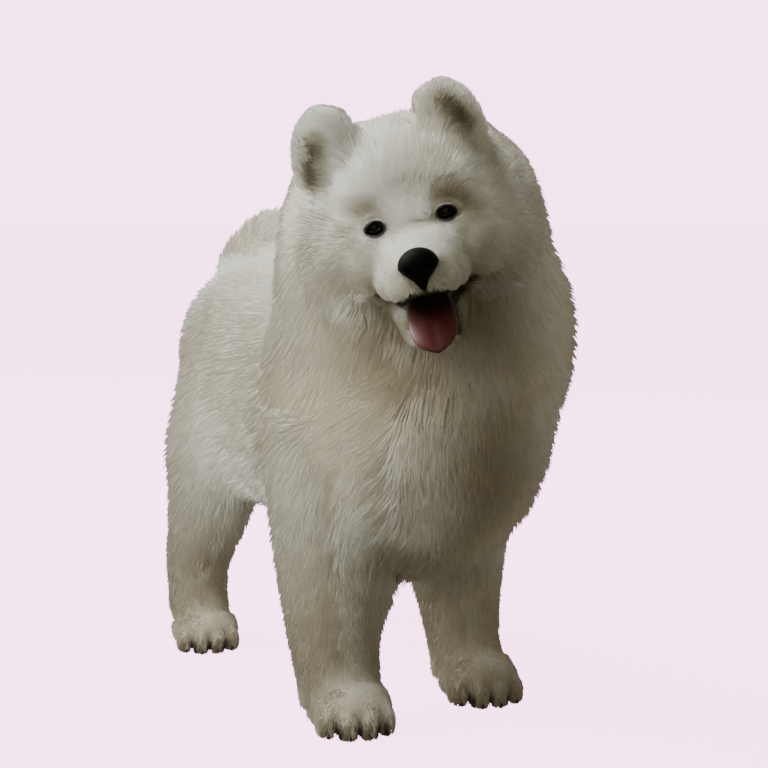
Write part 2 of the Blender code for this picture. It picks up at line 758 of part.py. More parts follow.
def build_nose(head):
    """The nose leather, narrower below, with two nostrils."""
    front = surface_at(head, 0, NOSE["z"])
    radii = NOSE["radii"]
    centre = front + Vector((0, radii[1] - NOSE["stands_out"], 0))
    nose = ellipsoid("nose", (0, 0, 0), radii, 16, 8)
    for v in nose.data.vertices:
        v.co.x *= 1 - 0.35 * max(0.0, -v.co.z / radii[2])
        v.co.y *= 1 + 0.15 * max(0.0, v.co.z / radii[2])
    for sign in SIDES.values():
        place = (sign * NOSTRIL["x"], -radii[1] * 0.86, NOSTRIL["z"])
        boolean(nose, "DIFFERENCE", [ellipsoid("nostril", place, NOSTRIL["radii"], 8, 5)])
    nose.data.transform(Matrix.Translation(centre))
    return keep_largest(nose)


def build_tongue():
    rows = smooth_between([(0, y, z, w, h) for y, z, w, h in TONGUE], 0.010)
    tongue = tube("tongue", [r[:3] for r in rows], [r[3:5] for r in rows], (1, 0, 0), 12)
    return tongue


def build_ear(side):
    """A thick ear with a round tip, hollowed in front into a cup."""
    sign = SIDES[side]
    rows = smooth_between(EAR, 0.014)
    turn = math.radians(EAR_TURN)
    way = (math.cos(turn), sign * math.sin(turn), 0)
    ear = tube(f"ear_{side}", [mirrored(r[:3], sign) for r in rows], [r[3:5] for r in rows], way, 16)
    cup = ellipsoid("cup", (0, 0, 0), EAR_CUP["radii"], 14, 8)
    lean = Matrix.Rotation(sign * math.radians(EAR_CUP["lean"]), 4, "Y")
    place = Matrix.Translation(Vector(mirrored(EAR_CUP["centre"], sign)))
    cup.data.transform(place @ lean)
    boolean(ear, "DIFFERENCE", [cup])
    ear.data.transform(Matrix.Translation((EAR_SHIFT[side], 0, 0)))
    return keep_largest(ear)


def build_head():
    """Every node of the head, in the head's own frame."""
    head = fused("head", [*head_forms(), jaw_form()], 0.004, 9, TRIANGLES["head"])
    mouth = mouth_cutter()
    raise_rim(head, mouth, LIP["width"], LIP["height"])
    boolean(head, "DIFFERENCE", [mouth])
    boolean(head, "INTERSECT", [region("head_side", [nape_plane()], GAP / 2)])
    keep_largest(head)
    jaw = part_off(head, "jaw", jaw_planes())
    eyes = build_eyes(head)
    nose = build_nose(head)
    cut_with(head, [nose])
    tongue = build_tongue()
    cut_with(tongue, [head])
    cut_with(jaw, [tongue])
    ears = [build_ear(side) for side in SIDES]
    for ear in ears:
        cut_with(ear, [head])
    nodes = [head, jaw, nose, tongue, *eyes, *ears]
    for obj in nodes:
        obj.data.transform(head_matrix())
    return nodes


def toe_plans(plan):
    """Each toe's middle and radii: four in an arc, the middle two ahead of the others."""
    length, width, height = plan["length"], plan["width"], plan["height"]
    toes = []
    for place in (-1.5, -0.5, 0.5, 1.5):
        reach = 0.30 if abs(place) < 1 else 0.19
        centre = Vector((place * 0.225 * width, -reach * length, 0.30 * height))
        toes.append((centre, (0.155 * width, 0.205 * length, 0.50 * height)))
    return toes


def claw_of(centre, radii):
    """A short claw that comes out of the front of a toe and bends to the ground."""
    front = centre + Vector((0, -radii[1] * 0.80, -radii[2] * 0.10))
    steps = [Vector((0, 0.006, 0.002)), Vector((0, -0.006, -0.002)), Vector((0, -0.011, -0.007))]
    halves = [(CLAW_RADIUS * k, CLAW_RADIUS * k) for k in (1.0, 0.8, 0.15)]
    return tube("claw", [front + step for step in steps], halves, (1, 0, 0), 4)


def build_paw(name, plan, leg, side, shift, girth=1.0):
    """A furred paw: the ball of the foot, toes with their claws, the wrist, and a flat sole."""
    length, width, height = plan["length"], plan["width"], plan["height"]
    place = Vector((SIDES[side] * (plan["x"] + shift[0]), plan["y"] + shift[1], 0.0))
    turn = Matrix.Rotation(-math.radians(plan["turn"]), 4, "Z")
    ball = (0.46 * width, 0.42 * length, 0.62 * height)
    forms = [ellipsoid("ball", (0, 0.10 * length, 0.40 * height), ball)]
    forms += [ellipsoid("toe", *toe) for toe in toe_plans(plan)]
    claws = [claw_of(*toe) for toe in toe_plans(plan)]
    for form in [*forms, *claws]:
        form.data.transform(Matrix.Translation(place) @ turn)
    wrist = [row for row in leg if row[2] < 0.12]
    forms.append(body_tube("wrist", wrist, (1, 0, 0), side, shift, girth))
    made = fused(name, forms, 0.0035, 2, TRIANGLES["paw"])
    boolean(made, "UNION", claws)
    level = [((0, 0, 0), (0, 0, 1)), ((0, 0, PAW_TOP - GAP), (0, 0, -1))]
    boolean(made, "INTERSECT", [region("foot", level, 0)])
    return keep_largest(made)


def build_body():
    """The trunk, neck and legs as one form, then parted by thin cuts."""
    rows = smooth_between(NECK, 0.022)
    turns = [HEAD_YAW * k / (len(rows) - 1) for k in range(len(rows))]
    across = [(math.cos(turn), math.sin(turn), 0) for turn in turns]
    forms = [body_tube("trunk", TRUNK, (1, 0, 0)), body_tube("neck", NECK, across)]
    for side in SIDES:
        girth = FORE_GIRTH[side]
        forms.append(body_tube("foreleg", FORELEG, (1, 0, 0), side, FORE_SHIFT[side], girth))
        forms.append(body_tube("hind_leg", HIND_LEG, (1, 0, 0), side, HIND_SHIFT[side]))
    whole = fused("torso", forms, 0.008, 8, TRIANGLES["body"])
    core = tree_of(whole)
    draw = random.Random(16)
    covers = body_covers()
    locks = trunk_locks(core, draw, covers) + ruff_locks(core, draw, covers) + chest_locks(core, draw)
    for side, sign in SIDES.items():
        locks += leg_locks(
            core, HIP, HIND_SHIFT[side], sign, THIGH_RINGS, THIGH_ANGLES, THIGH_LOCK, draw
        )
        locks += leg_locks(
            core, ELBOW, FORE_SHIFT[side], sign, FEATHER_RINGS, FEATHER_ANGLES, FEATHER_LOCK, draw
        )
    with_locks(whole, locks)
    boolean(whole, "INTERSECT", [region("above_paws", [((0, 0, PAW_TOP), (0, 0, 1))], 0)], "MANIFOLD")
    parts = [whole]
    for side, sign in SIDES.items():
        inner = ((0, 0, 0), (sign, 0, 0))
        below = ((0, 0, FORELEG_TOP["height"]), (sign * FORELEG_TOP["slope"], 0, -1))
        ahead = ((0, 0, 0), (0, -1, 0))
        parts.append(part_off(whole, f"foreleg_{side}", [inner, below, ahead]))
        below = ((0, 0, THIGH_TOP["height"]), (sign * THIGH_TOP["slope"], 0, -1))
        behind = ((0, THIGH_FRONT["y"], 0), (0, 1, THIGH_FRONT["lean"]))
        thigh = part_off(whole, f"thigh_{side}", [inner, below, behind])
        hock = ((0, HOCK_TOP["y"], HOCK_TOP["z"]), (0, HOCK_TOP["lean"], -1))
        parts.append(part_off(thigh, f"hock_{side}", [hock]))
        parts.append(thigh)
    rise = WITHERS - CHEST
    parts.append(part_off(whole, "neck", [(WITHERS, Vector((0, -rise.z, rise.y)))]))
    return parts


def tail_locks(core, rows, draw):
    """Locks that fan out to both sides all along the tail."""
    locks = []
    for row, share in enumerate(TAIL_RINGS):
        station = between(rows, share)
        centre = Vector(station[:3])
        ahead = (Vector(between(rows, share + 0.03)[:3]) - centre).normalized()
        side = (TAIL_ACROSS - ahead * ahead.dot(TAIL_ACROSS)).normalized()
        up = ahead.cross(side)
        fall = ahead + Vector((0, 0, -0.6))
        angles = [10 + 80 * (k + 0.5 * (row % 2)) for k in range(3)]
        locks += ring_of_locks(
            core, centre, side * station[3], up * station[3], angles,
            TAIL_LOCK, CORE_SHARE * station[5], lambda *_, fall=fall: fall, draw,
        )
    return locks


def build_tail(others):
    """The tail, from its root up over the back and down the far flank, in two lengths."""
    rows = smooth_between(TAIL, 0.022)
    halves = [(r[3] - CORE_SHARE * r[5], r[4] - CORE_SHARE * r[5]) for r in rows]
    base = tube("tail_base", [r[:3] for r in rows], halves, TAIL_ACROSS, 12)
    with_locks(base, tail_locks(tree_of(base), rows, random.Random(24)))
    cut_with(base, others)
    along = Vector(TAIL[4][:3]) - Vector(TAIL[3][:3])
    plume = part_off(base, "tail_plume", [(TAIL_PARTING, along)])
    return [base, plume]


def centre_on_floor(nodes):
    """Moves the dog so that its bounds are centred on the origin and its paws are on z = 0."""
    corners = [v.co for obj in nodes for v in obj.data.vertices]
    low = Vector([min(c[i] for c in corners) for i in range(3)])
    high = Vector([max(c[i] for c in corners) for i in range(3)])
    move = Vector((-(low.x + high.x) / 2, -(low.y + high.y) / 2, -low.z))
    for obj in nodes:
        obj.data.transform(Matrix.Translation(move))


def finish(obj):
    """Gives a node its material and its shading."""
    kind = next((key for key in LOOKS if obj.name.startswith(key)), "coat")
    obj.data.materials.clear()
    obj.data.materials.append(material(kind, *LOOKS[kind]))
    obj.data.shade_smooth()
    obj.data.set_sharp_from_angle(angle=math.radians(40))


def main():
    clear_scene()
    head_nodes = build_head()
    body_nodes = build_body()
    torso, neck = body_nodes[0], body_nodes[-1]
    cut_with(neck, head_nodes)
    cut_with(torso, head_nodes[:2])
    paws = []
    for side in SIDES:
        girth = FORE_GIRTH[side]
        paws.append(build_paw(f"forepaw_{side}", FORE_PAW, FORELEG, side, FORE_SHIFT[side], girth))
        paws.append(build_paw(f"hindpaw_{side}", HIND_PAW, HIND_LEG, side, HIND_SHIFT[side]))
    nodes = [*head_nodes, *body_nodes, *paws, *build_tail([torso, *body_nodes[1:-1]])]
    centre_on_floor(nodes)
    for obj in nodes:
        finish(obj)


if __name__ == "__main__":
    main()
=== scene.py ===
"""The looks of a standing samoyed: its skin, coat, face and feet, with a floor, lights and camera.

Metres, +Z up. The dog faces -Y and its left side is +X. The tables hold the body's plan, and
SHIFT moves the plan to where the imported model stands, worked out from its eyes.
Tables inside metres() are in millimetres.
The head has its own frame, whose origin is midway between the eyes.
"""

import math

import bmesh
import bpy
import numpy as np
from mathutils import Matrix, Vector
from mathutils.bvhtree import BVHTree
from mathutils.kdtree import KDTree


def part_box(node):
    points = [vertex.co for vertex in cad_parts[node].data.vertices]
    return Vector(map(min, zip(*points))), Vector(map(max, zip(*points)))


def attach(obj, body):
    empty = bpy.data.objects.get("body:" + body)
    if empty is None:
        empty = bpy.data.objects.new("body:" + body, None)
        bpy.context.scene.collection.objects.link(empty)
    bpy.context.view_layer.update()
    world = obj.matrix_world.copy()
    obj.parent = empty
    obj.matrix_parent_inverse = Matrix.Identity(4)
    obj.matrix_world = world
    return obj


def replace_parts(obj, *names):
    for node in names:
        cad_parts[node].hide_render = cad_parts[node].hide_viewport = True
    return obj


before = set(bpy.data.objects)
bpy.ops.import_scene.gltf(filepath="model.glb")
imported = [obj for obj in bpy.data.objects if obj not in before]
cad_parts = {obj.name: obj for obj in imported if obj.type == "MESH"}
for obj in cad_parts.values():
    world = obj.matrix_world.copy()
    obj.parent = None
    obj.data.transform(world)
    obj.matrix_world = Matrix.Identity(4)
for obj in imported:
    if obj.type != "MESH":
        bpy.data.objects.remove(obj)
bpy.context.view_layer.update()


def metres(*sizes):
    """Sizes in millimetres, or rows of them, in metres."""
    return tuple(metres(*size) if isinstance(size, tuple) else size / 1000 for size in sizes)


SIDES = {"left": 1, "right": -1}
# Where the middle between the eyes' boxes is in the plan, and how far the plan moves to the model.
EYES_IN_PLAN = Vector((-0.1014, -0.3384, 0.5704))
EYE_CORNERS = [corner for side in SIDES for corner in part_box(f"eye_{side}")]
SHIFT = sum(EYE_CORNERS, Vector()) / len(EYE_CORNERS) - EYES_IN_PLAN

# The camera, in the plan's frame, for a picture 768 wide and high.
CAMERA_PLACE = Vector((-0.939, -1.844, 0.597))
CAMERA_TURN = (math.radians(83.6), 0.0, math.radians(-28.2))
CAMERA_FOCUS_PIXELS = 1700
PICTURE_PIXELS = 768
SENSOR_WIDTH = 36.0

# The head's frame: where the point between the eyes is, and how the head is turned.
EYE_LEVEL = Vector((-0.108, -0.350, 0.570))
HEAD_YAW = math.radians(-29)
HEAD_PITCH = math.radians(6)
HEAD_ROLL = math.radians(-13)

# Trunk, from chest to rump: x, y, z, half width, half height, coat depth.
TRUNK = metres(
    (12, -278, 322, 70, 90, 45),
    (13, -245, 326, 124, 150, 60),
    (15, -185, 334, 160, 188, 65),
    (12, -100, 342, 168, 190, 65),
    (6, 0, 346, 155, 182, 60),
    (3, 100, 352, 142, 173, 55),
    (-2, 200, 363, 123, 160, 50),
    (-2, 280, 374, 106, 136, 50),
    (0, 335, 380, 90, 114, 45),
    (0, 368, 376, 62, 74, 40),
    (0, 384, 376, 28, 34, 30),
)
# Neck with its ruff, from the withers to the nape: x, y, z, half width, half depth, coat.
NECK = metres(
    (18, -70, 355, 168, 130, 60),
    (20, -130, 395, 188, 155, 75),
    (10, -165, 450, 182, 150, 80),
    (-9, -185, 500, 164, 130, 75),
    (-25, -207, 550, 154, 110, 60),
    (-40, -226, 595, 143, 94, 40),
    (-54, -238, 635, 122, 70, 20),
    (-62, -246, 668, 92, 42, 8),
)
# Foreleg from shoulder to wrist: x, y, z, half width, half depth, coat.
FORELEG = metres(
    (82, -130, 360, 84, 88, 40),
    (89, -125, 280, 82, 80, 35),
    (91, -115, 220, 73, 70, 30),
    (90, -112, 160, 63, 63, 24),
    (89, -115, 110, 58, 56, 18),
    (89, -122, 70, 52, 51, 12),
    (89, -130, 40, 48, 48, 8),
    (89, -134, 4, 44, 44, 6),
)
# Hind leg from hip to hock: x, y, z, half width, half depth, coat.
HIND_LEG = metres(
    (56, 215, 400, 48, 110, 45),
    (69, 215, 320, 59, 108, 45),
    (80, 218, 250, 65, 94, 40),
    (84, 230, 190, 55, 70, 30),
    (86, 254, 140, 48, 56, 22),
    (87, 268, 105, 44, 48, 16),
    (88, 264, 65, 41, 44, 10),
    (89, 258, 35, 42, 43, 8),
    (89, 256, 4, 38, 38, 6),
)
# Tail, from its root over the back to the far flank: x, y, z, half width, half depth, coat.
TAIL = metres(
    (0, 315, 430, 34, 34, 12),
    (6, 340, 460, 42, 40, 22),
    (17, 330, 500, 52, 46, 32),
    (42, 296, 528, 63, 54, 44),
    (78, 248, 518, 70, 58, 50),
    (108, 204, 482, 71, 56, 52),
    (130, 174, 430, 63, 50, 50),
    (138, 158, 380, 48, 40, 44),
    (140, 150, 345, 20, 18, 20),
)
TAIL_ACROSS = Vector((0.7, 0.7, 0.0))
# How far each side's legs stand from the plan above: x, y.
FORE_SHIFT = {"left": (0.008, 0.010), "right": (0.002, -0.024)}
HIND_SHIFT = {"left": (0.012, 0.012), "right": (0.012, -0.014)}
# How wide each foreleg's coat stands, against the plan above.
FORE_GIRTH = {"left": 0.91, "right": 1.01}

# The coat's arch between the forelegs, a form inside each of them.
ARCH = ((0.053, -0.128, 0.156), (0.036, 0.042, 0.054))

# Paws: where the middle of the foot is, and how far its toes point to the dog's right.
FORE_PAW = {"length": 0.124, "width": 0.097, "height": 0.054, "x": 0.090, "y": -0.163, "turn": 18}
HIND_PAW = {"length": 0.114, "width": 0.088, "height": 0.049, "x": 0.090, "y": 0.231, "turn": 18}
# From toe to toe, as a share of the paw's width.
TOE_APART = 0.228
# A claw's middle line from inside its toe to its point, with its radius: x, y, z, radius.
CLAW = (
    ((0, 0.006, 0.002), 0.0024),
    ((0, -0.002, 0.000), 0.0021),
    ((0, -0.006, -0.002), 0.0015),
    ((0, -0.008, -0.004), 0.0004),
)

# Head, in its own frame. Ellipsoids: centre, radii, coat depth.
SKULL = metres(
    ((0, 80, 22), (92, 88, 84), 20),
    ((0, 54, 20), (74, 56, 62), 12),
    ((0, 30, 4), (44, 40, 36), 6),
)
CHEEKS = metres(
    ((58, 64, -28), (58, 60, 60), 18),
    ((37, 24, -34), (43, 50, 42), 7),
    ((77, 94, 8), (44, 52, 67), 24),
)
BROW = ((0.028, 0.030, 0.016), (0.026, 0.022, 0.018), 0.006)
LIPS = metres(
    ((17, -54, -54), (22, 30, 20), 3),
    ((27, -24, -53), (22, 36, 21), 4),
)
# The coat's own forms under the cheeks and the throat, which lead over to the ruff.
JOWLS = metres(
    ((54, 66, -88), (56, 56, 52)),
    ((0, 70, -112), (70, 52, 46)),
    ((84, 96, -50), (50, 56, 60)),
)
# Upper muzzle, from the stop to the nose: y, z, half width, half height, coat depth.
MUZZLE = metres(
    (30, -34, 54, 36, 6),
    (0, -34, 50, 33, 5),
    (-30, -38, 43, 29, 4),
    (-55, -42, 36, 25, 3),
    (-75, -44, 30, 21, 2),
    (-86, -46, 21, 15, 1),
)
# Lower jaw, from the throat to the chin: y, z, half width, half height, coat depth.
JAW = metres(
    (55, -70, 52, 36, 18),
    (20, -84, 46, 28, 14),
    (-10, -99, 38, 22, 10),
    (-36, -112, 30, 17, 6),
    (-52, -120, 22, 12, 4),
)
# The open mouth, from its corners to past the lips: y, then the heights and the half widths
# of its floor, of the upper lips' edge and of the palate.
MOUTH = metres(
    (4, (-75, -70, -65), (32, 40, 30)),
    (-22, (-90, -76, -61), (30, 45, 16)),
    (-44, (-104, -76, -60), (24, 40, 14)),
    (-62, (-116, -75, -59), (18, 36, 13)),
    (-94, (-142, -76, -60), (15, 36, 12)),
)
EYE_RADIUS = 0.0115
PUPIL_RADIUS = 0.0085
IRIS = (0.010, 0.006, 0.004, 1)
IRIS_DARK = (0.004, 0.003, 0.002, 1)
EYE_OPENING = {"half_width": 0.0090, "half_height": 0.0058, "corner_drop": 0.0018}
NOSE = {"radii": (0.0203, 0.0140, 0.0176), "narrow": 0.48, "lower": -0.0012}
# The dark groove from the nose to the lip, about the nose's middle.
PHILTRUM = {"centre": (0.0, 0.003, -0.0115), "radii": (0.0088, 0.0085, 0.0145), "narrow": 0.50}
NOSTRIL = {"x": 0.0100, "z": -0.0010, "radii": (0.0036, 0.0060, 0.0030)}
# Tongue, from the back of the mouth over the lower lip: y, z, half width, half height.
TONGUE = (
    (-0.004, -0.080, 0.020, 0.0045),
    (-0.024, -0.089, 0.0235, 0.0048),
    (-0.044, -0.098, 0.0245, 0.0046),
    (-0.058, -0.108, 0.0225, 0.0042),
    (-0.067, -0.116, 0.0165, 0.0034),
    (-0.071, -0.122, 0.0070, 0.0022),
)
# Ear, from its root in the skull to its round tip: x, y, z, half width, half depth, coat.
EAR = metres(
    (66, 80, 26, 34, 26, 12),
    (71, 72, 54, 43, 26, 12),
    (71, 66, 80, 43, 22, 11),
    (66, 62, 102, 36, 18, 9),
    (61, 59, 118, 23, 13, 6),
    (58, 58, 126, 10, 6, 2),
)
EAR_CUP = {"centre": (0.082, 0.046, 0.068), "radii": (0.015, 0.024, 0.034), "lean": 12}
EAR_TURN = 24
EAR_SHIFT = {"left": -0.014, "right": 0.002}

# The fineness of the skin's mesh on the body, on the feet and on the head, and of the outline's.
BODY_VOXEL = 0.0060
FOOT_VOXEL = 0.0032
HEAD_VOXEL = 0.0025
OUTLINE_VOXEL = 0.0035
# Share of the plan's coat depth that lies between the body's skin and the tips.
SKIN_SHARE = 0.72
# How much of the coat's depth the skin stays short of a form's ends, and its least thickness.
END_SHARE = 0.7
THINNEST_SHARE = 0.28
# The depth of the paws' coat, and the mound of the lids round an eyeball.
PAW_COAT = 0.004
LID_MOUND = (0.0150, 0.0128, 0.0120)
# The rim round an eye: how far each ring lies out of the opening, and from the eye's middle.
LID_RINGS = ((-0.0008, 0.0113), (0.0000, 0.0126), (0.0009, 0.0137), (0.0017, 0.0138), (0.0025, 0.0128))
# Where the outline is smoothed: behind and below the face, and beside the muzzle (back, out).
BEHIND_FACE = (0.015, 0.055)
BELOW_FACE = (0.10, 0.13)
BESIDE_MUZZLE = ((-0.040, -0.015), (0.034, 0.050))
# How far from the floor and from the ears that smoothing begins.
SMOOTH_ABOVE = (0.022, 0.045)
SMOOTH_FROM_EARS = (0.045, 0.065)

# The coat of each region: how many tufts it has, how far a tuft lies along the skin against the
# coat's depth, how strongly tufts gather into locks, and how deep the coat may be.
COAT = {
    "head": {"tufts": 84000, "lie": 1.4, "gather": 0.10, "deepest": 0.060},
    "ears": {"tufts": 20000, "lie": 1.2, "gather": 0.10, "deepest": 0.013},
    "neck": {"tufts": 80000, "lie": 1.2, "gather": 0.16, "deepest": 0.080},
    "trunk": {"tufts": 76000, "lie": 1.3, "gather": 0.12, "deepest": 0.070},
    "forelegs": {"tufts": 28000, "lie": 1.3, "gather": 0.10, "deepest": 0.036},
    "hind_legs": {"tufts": 26000, "lie": 1.3, "gather": 0.10, "deepest": 0.045},
    "paws": {"tufts": 18000, "lie": 1.2, "gather": 0.05, "deepest": 0.008},
    "tail": {"tufts": 18000, "lie": 1.5, "gather": 0.25, "deepest": 0.055},
}
# The most triangles in a piece, the tufts in a lock, the width of a tuft's patch of the unwrap,
# and the seed of the random draws.
MOST_TRIANGLES = 190000
TUFTS_PER_LOCK = 14
PATCH = 0.003
SEED = 7

# The height where the paws end, how short their coat is there and how it deepens above, and
# how the coat lies there: over the toes, between these heights and the floor.
PAW_TOP = 0.056
PAW_DEEPEST = 0.008
PAW_RISE = 0.8
PAW_LIE = (-0.16, -0.50, -0.85)
PAW_LIE_FROM = (0.030, 0.100)
# The heights between which the wrists and hocks are smoothed into the feet.
ANKLE = (0.026, 0.044, 0.090, 0.120)
# The stop between the eyes, smoothed too: its centre and radii in the head's frame, the share of
# them that the smoothing reaches, and the way that its coat's shading faces.
STOP = ((0.003, 0.002, -0.005), (0.044, 0.040, 0.032))
STOP_SMOOTHED = 0.62
STOP_FACES = (0.0, -0.80, 0.60)
# The dark edge of the lips, and between which heights of the head it thickens.
LIP_RADIUS = 0.0015
LIP_FADE = (-0.108, -0.092)
# The height of the skin's soles, that below which there is no coat, and that of the lowest tips.
SOLE_LEVEL = 0.0008
SOLE = 0.004
LOWEST = 0.0005
# The bare rim round an eye, half as wide and high as this, and how the coat deepens away from it.
EYE_BARE = (0.0110, 0.0082)
EYE_RISE = 0.42
# The coat round the eyes, nose and mouth, and how it deepens away from nose and mouth.
FACE_SHORTEST = 0.0020
MOUTH_RISE = 0.50
# The bridge of the nose, where the coat is short: a place in the head, how far, how short, the rise.
BRIDGE = ((0.0, -0.020, -0.010), 0.034, 0.0045, 0.26)
# How far from the nose's middle, and from the open mouth, the coat begins.
NOSE_BARE = 0.016
LIP_BARE = 0.0035
# The least and the greatest depth of coat anywhere.
SHORTEST = 0.003
DEEPEST = 0.10
# How deep the coat may be on the face, and behind it where the ruff begins.
FACE_DEEPEST = 0.020
NAPE_DEEPEST = 0.055
# Where it deepens from the one to the other (back, down), and how far from the eyes it is so.
NAPE = ((0.03, 0.10), (-0.07, -0.03))
FACE_REACH = 0.19
MOUTH_REACH = 0.20
# How far under the skin a tuft begins.
ROOT_SUNK = 0.0015
# Tufts grow closer together where the coat is short, by this much of its depth.
DENSITY_DEPTH = 0.012
# A tuft's width at no depth of coat, how it grows with the depth, and how tufts differ in it.
WIDTH_AT_ROOT = 0.0007
WIDTH_BY_DEPTH = 0.018
WIDEST_DEPTH = 0.060
WIDTH_SPREAD = (0.7, 1.3)
# How far tufts turn from their lie, how they differ in length, and how they roll about it.
SWERVE = 0.12
LENGTH_SPREAD = (0.85, 1.15)
ROLL = 0.18
ROLL_LEAN = 0.35
# Where a tuft is widest, and how far it bows outward there against the coat's depth.
BEND_AT = 0.42
BOW = 0.28
# Shares of the tufts that end short of the coat's surface, and that stray past it.
UNDER_SHARE = 0.30
STRAY_SHARE = 0.16
STRAY_WIDTH = 0.35
STRAY_PAST = 0.0035
# How far below the coat's surface tufts end, as shares of its depth: each tuft, each lock, the
# short tufts, and how far past it the stray ones do.
LOWER_BY = {"tuft": (0.0, 0.14), "lock": (0.0, 0.06), "under": (0.10, 0.40), "stray": (0.02, 0.12)}
# How far past the outline any tip may end, and how short tufts stay where the outline turns away.
FURTHEST_PAST = 0.003
TURNED_AWAY = 0.5
LEAST_AGREEMENT = 0.2
# How much of a tuft's shading comes from the outline, and how far its edges and tip lean.
OUTLINE_SHADE = 0.75
EDGE_LEAN = 0.25
# The farthest that a tip moves to the outline: this share of the coat's depth, and this more.
PULL_SHARE = 0.5
PULL_MORE = 0.004
# How far below the coat's surface the other tips may end.
TIP_SPREAD = 0.005
# How far the shading of a tuft's underside leans out of the coat.
UNDERSIDE_LIFT = 0.6
# Coats from this deep to this deep follow the outline more and more, and short ones the skin.
FOLLOWS_OUTLINE = (0.005, 0.014)
# Where the face's coat lies away from, in the head's frame.
LIE_FROM = (0.0, -0.085, -0.034)
# Where along the trunk its coat turns from lying backward to hanging down.
RUMP = (0.27, 0.36)

# The colours of the coat and of the bare parts, and the groove along the tongue.
CREAM = (0.80, 0.79, 0.74, 1)
WARM_CREAM = (0.76, 0.72, 0.63, 1)
# Painted shade deep in the coat, which the tufts take on towards their roots.
ROOT_SHADE = (0.62, 0.57, 0.47, 1)
# The brown of the biscuit marks, which also carries painted shade.
TAN_AND_SHADE = (0.32, 0.26, 0.16, 1)
# The black of the lips and eye rims, which also carries painted shade in the ears' hollows and between
# the toes.
BLACK_AND_SHADE = (0.020, 0.016, 0.012, 1)
NOSE_BLACK = (0.003, 0.0025, 0.0022, 1)
RIM_BLACK = (0.006, 0.005, 0.0045, 1)
TONGUE_PINK = (0.17, 0.042, 0.044, 1)
# Painted shade over the tongue's back, inside the mouth.
TONGUE_SHADE = (0.020, 0.006, 0.006, 1)
TONGUE_GROOVE = 0.0016
# Marks on each side of the head, in its frame, partly biscuit and partly painted shade: centre, radii,
# strength.
TAN_AND_SHADE_MARKS = (
    ((0.047, 0.006, 0.019), (0.030, 0.050, 0.022), 0.75),
    ((0.062, 0.020, -0.004), (0.024, 0.050, 0.026), 0.50),
    ((0.052, 0.010, -0.082), (0.028, 0.050, 0.040), 0.75),
    ((0.036, -0.030, -0.100), (0.024, 0.055, 0.030), 0.80),
    ((0.000, -0.030, -0.128), (0.044, 0.040, 0.028), 0.70),
)
# Strokes of colour on the head, seen from its front: their ends (x, z), half width, how far back
# they reach (y), and their shares of brown and of black. The black lips and the mouth's corners come
# first, then the cheeks, whose brown is partly painted shade, then the ears' hollows, painted shade.
STROKES = (
    ((0.000, -0.066), (0.000, -0.076), 0.0042, 0.000, 0.0, 0.95),
    ((0.000, -0.074), (-0.027, -0.082), 0.0030, 0.000, 0.0, 0.80),
    ((-0.027, -0.082), (-0.050, -0.067), 0.0036, 0.020, 0.0, 0.95),
    ((0.000, -0.074), (0.026, -0.079), 0.0032, 0.000, 0.0, 0.90),
    ((0.026, -0.086), (0.050, -0.072), 0.0058, 0.020, 0.0, 1.00),
    ((0.0255, -0.086), (0.0245, -0.114), 0.0038, 0.000, 0.0, 1.00),
    ((-0.0220, -0.088), (-0.0235, -0.100), 0.0032, 0.000, 0.0, 0.95),
    ((0.047, -0.082), (0.036, -0.118), 0.0150, 0.030, 0.95, 0.10),
    ((-0.090, -0.015), (-0.074, -0.078), 0.0450, 0.120, 0.36, 0.0),
    ((0.058, 0.108), (0.078, 0.080), 0.0120, 0.066, 0.80, 0.0),
    ((0.062, 0.104), (0.076, 0.086), 0.0060, 0.066, 0.0, 0.36),
    ((-0.080, 0.094), (-0.090, 0.052), 0.0150, 0.066, 0.80, 0.0),
    ((-0.082, 0.088), (-0.091, 0.056), 0.0085, 0.066, 0.0, 0.50),
)
# How much darker than its mark, or lighter, a tuft may be.
DARK_SPREAD = (0.8, 1.6)
# The black edge round the eyes: half width and height, and how far out it fades.
EYE_MARK = (0.0108, 0.0078, 1.25)
# Painted shade on the chest below the head, darker and warmer, in the plan's frame: centre, radii,
# strength.
CHEST_SHADE = (
    ((-0.030, -0.290, 0.440), (0.160, 0.170, 0.170), 0.60),
    ((0.000, -0.270, 0.290), (0.170, 0.170, 0.150), 0.46),
)
# The legs' coat grows darker and warmer below this height, down to the floor.
LEG_DARKENING = (0.26, 0.02, 0.56)
# Painted shade in the gaps between the toes, as dark slits: how high they reach, how far back, and their
# half width.
TOE_GAP_SHADE = (0.020, 0.022, 0.0030)
FLOOR_COLOUR = (0.42, 0.34, 0.40, 1)
FLOOR_GLOW = 5.6
SKY_COLOUR = (1.0, 0.50, 0.84, 1)
SKY_GLOW = 6.0
FLOOR_HALF = 30
SKY_RADIUS = 29
WORLD_COLOUR = (1.0, 0.91, 0.62, 1)
WORLD_STRENGTH = 0.15
LIT_POINT = Vector((0.0, 0.0, 0.35))
# Each light: name, place, size, power, colour.
LIGHTS = (
    ("key", (-2.05, 1.50, 2.8), 2.4, 198, (0.97, 1.0, 0.95)),
    ("rim", (1.9, 1.5, 1.6), 1.4, 26, (0.97, 1.0, 0.98)),
    ("fill", (-1.9, -2.4, 1.2), 2.2, 8, (1.0, 0.95, 0.80)),
)
# The CAD nodes of flesh, which the skin stands for.
FLESH = [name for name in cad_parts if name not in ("eye_left", "eye_right", "nose", "tongue")]


def link(name, mesh):
    obj = bpy.data.objects.new(name, mesh)
    bpy.context.scene.collection.objects.link(obj)
    return obj


def object_from(name, points, faces):
    mesh = bpy.data.meshes.new(name)
    mesh.from_pydata([tuple(p) for p in points], [], faces)
    mesh.update()
    return link(name, mesh)


def remove(*objects):
    for obj in objects:
        bpy.data.objects.remove(obj, do_unlink=True)


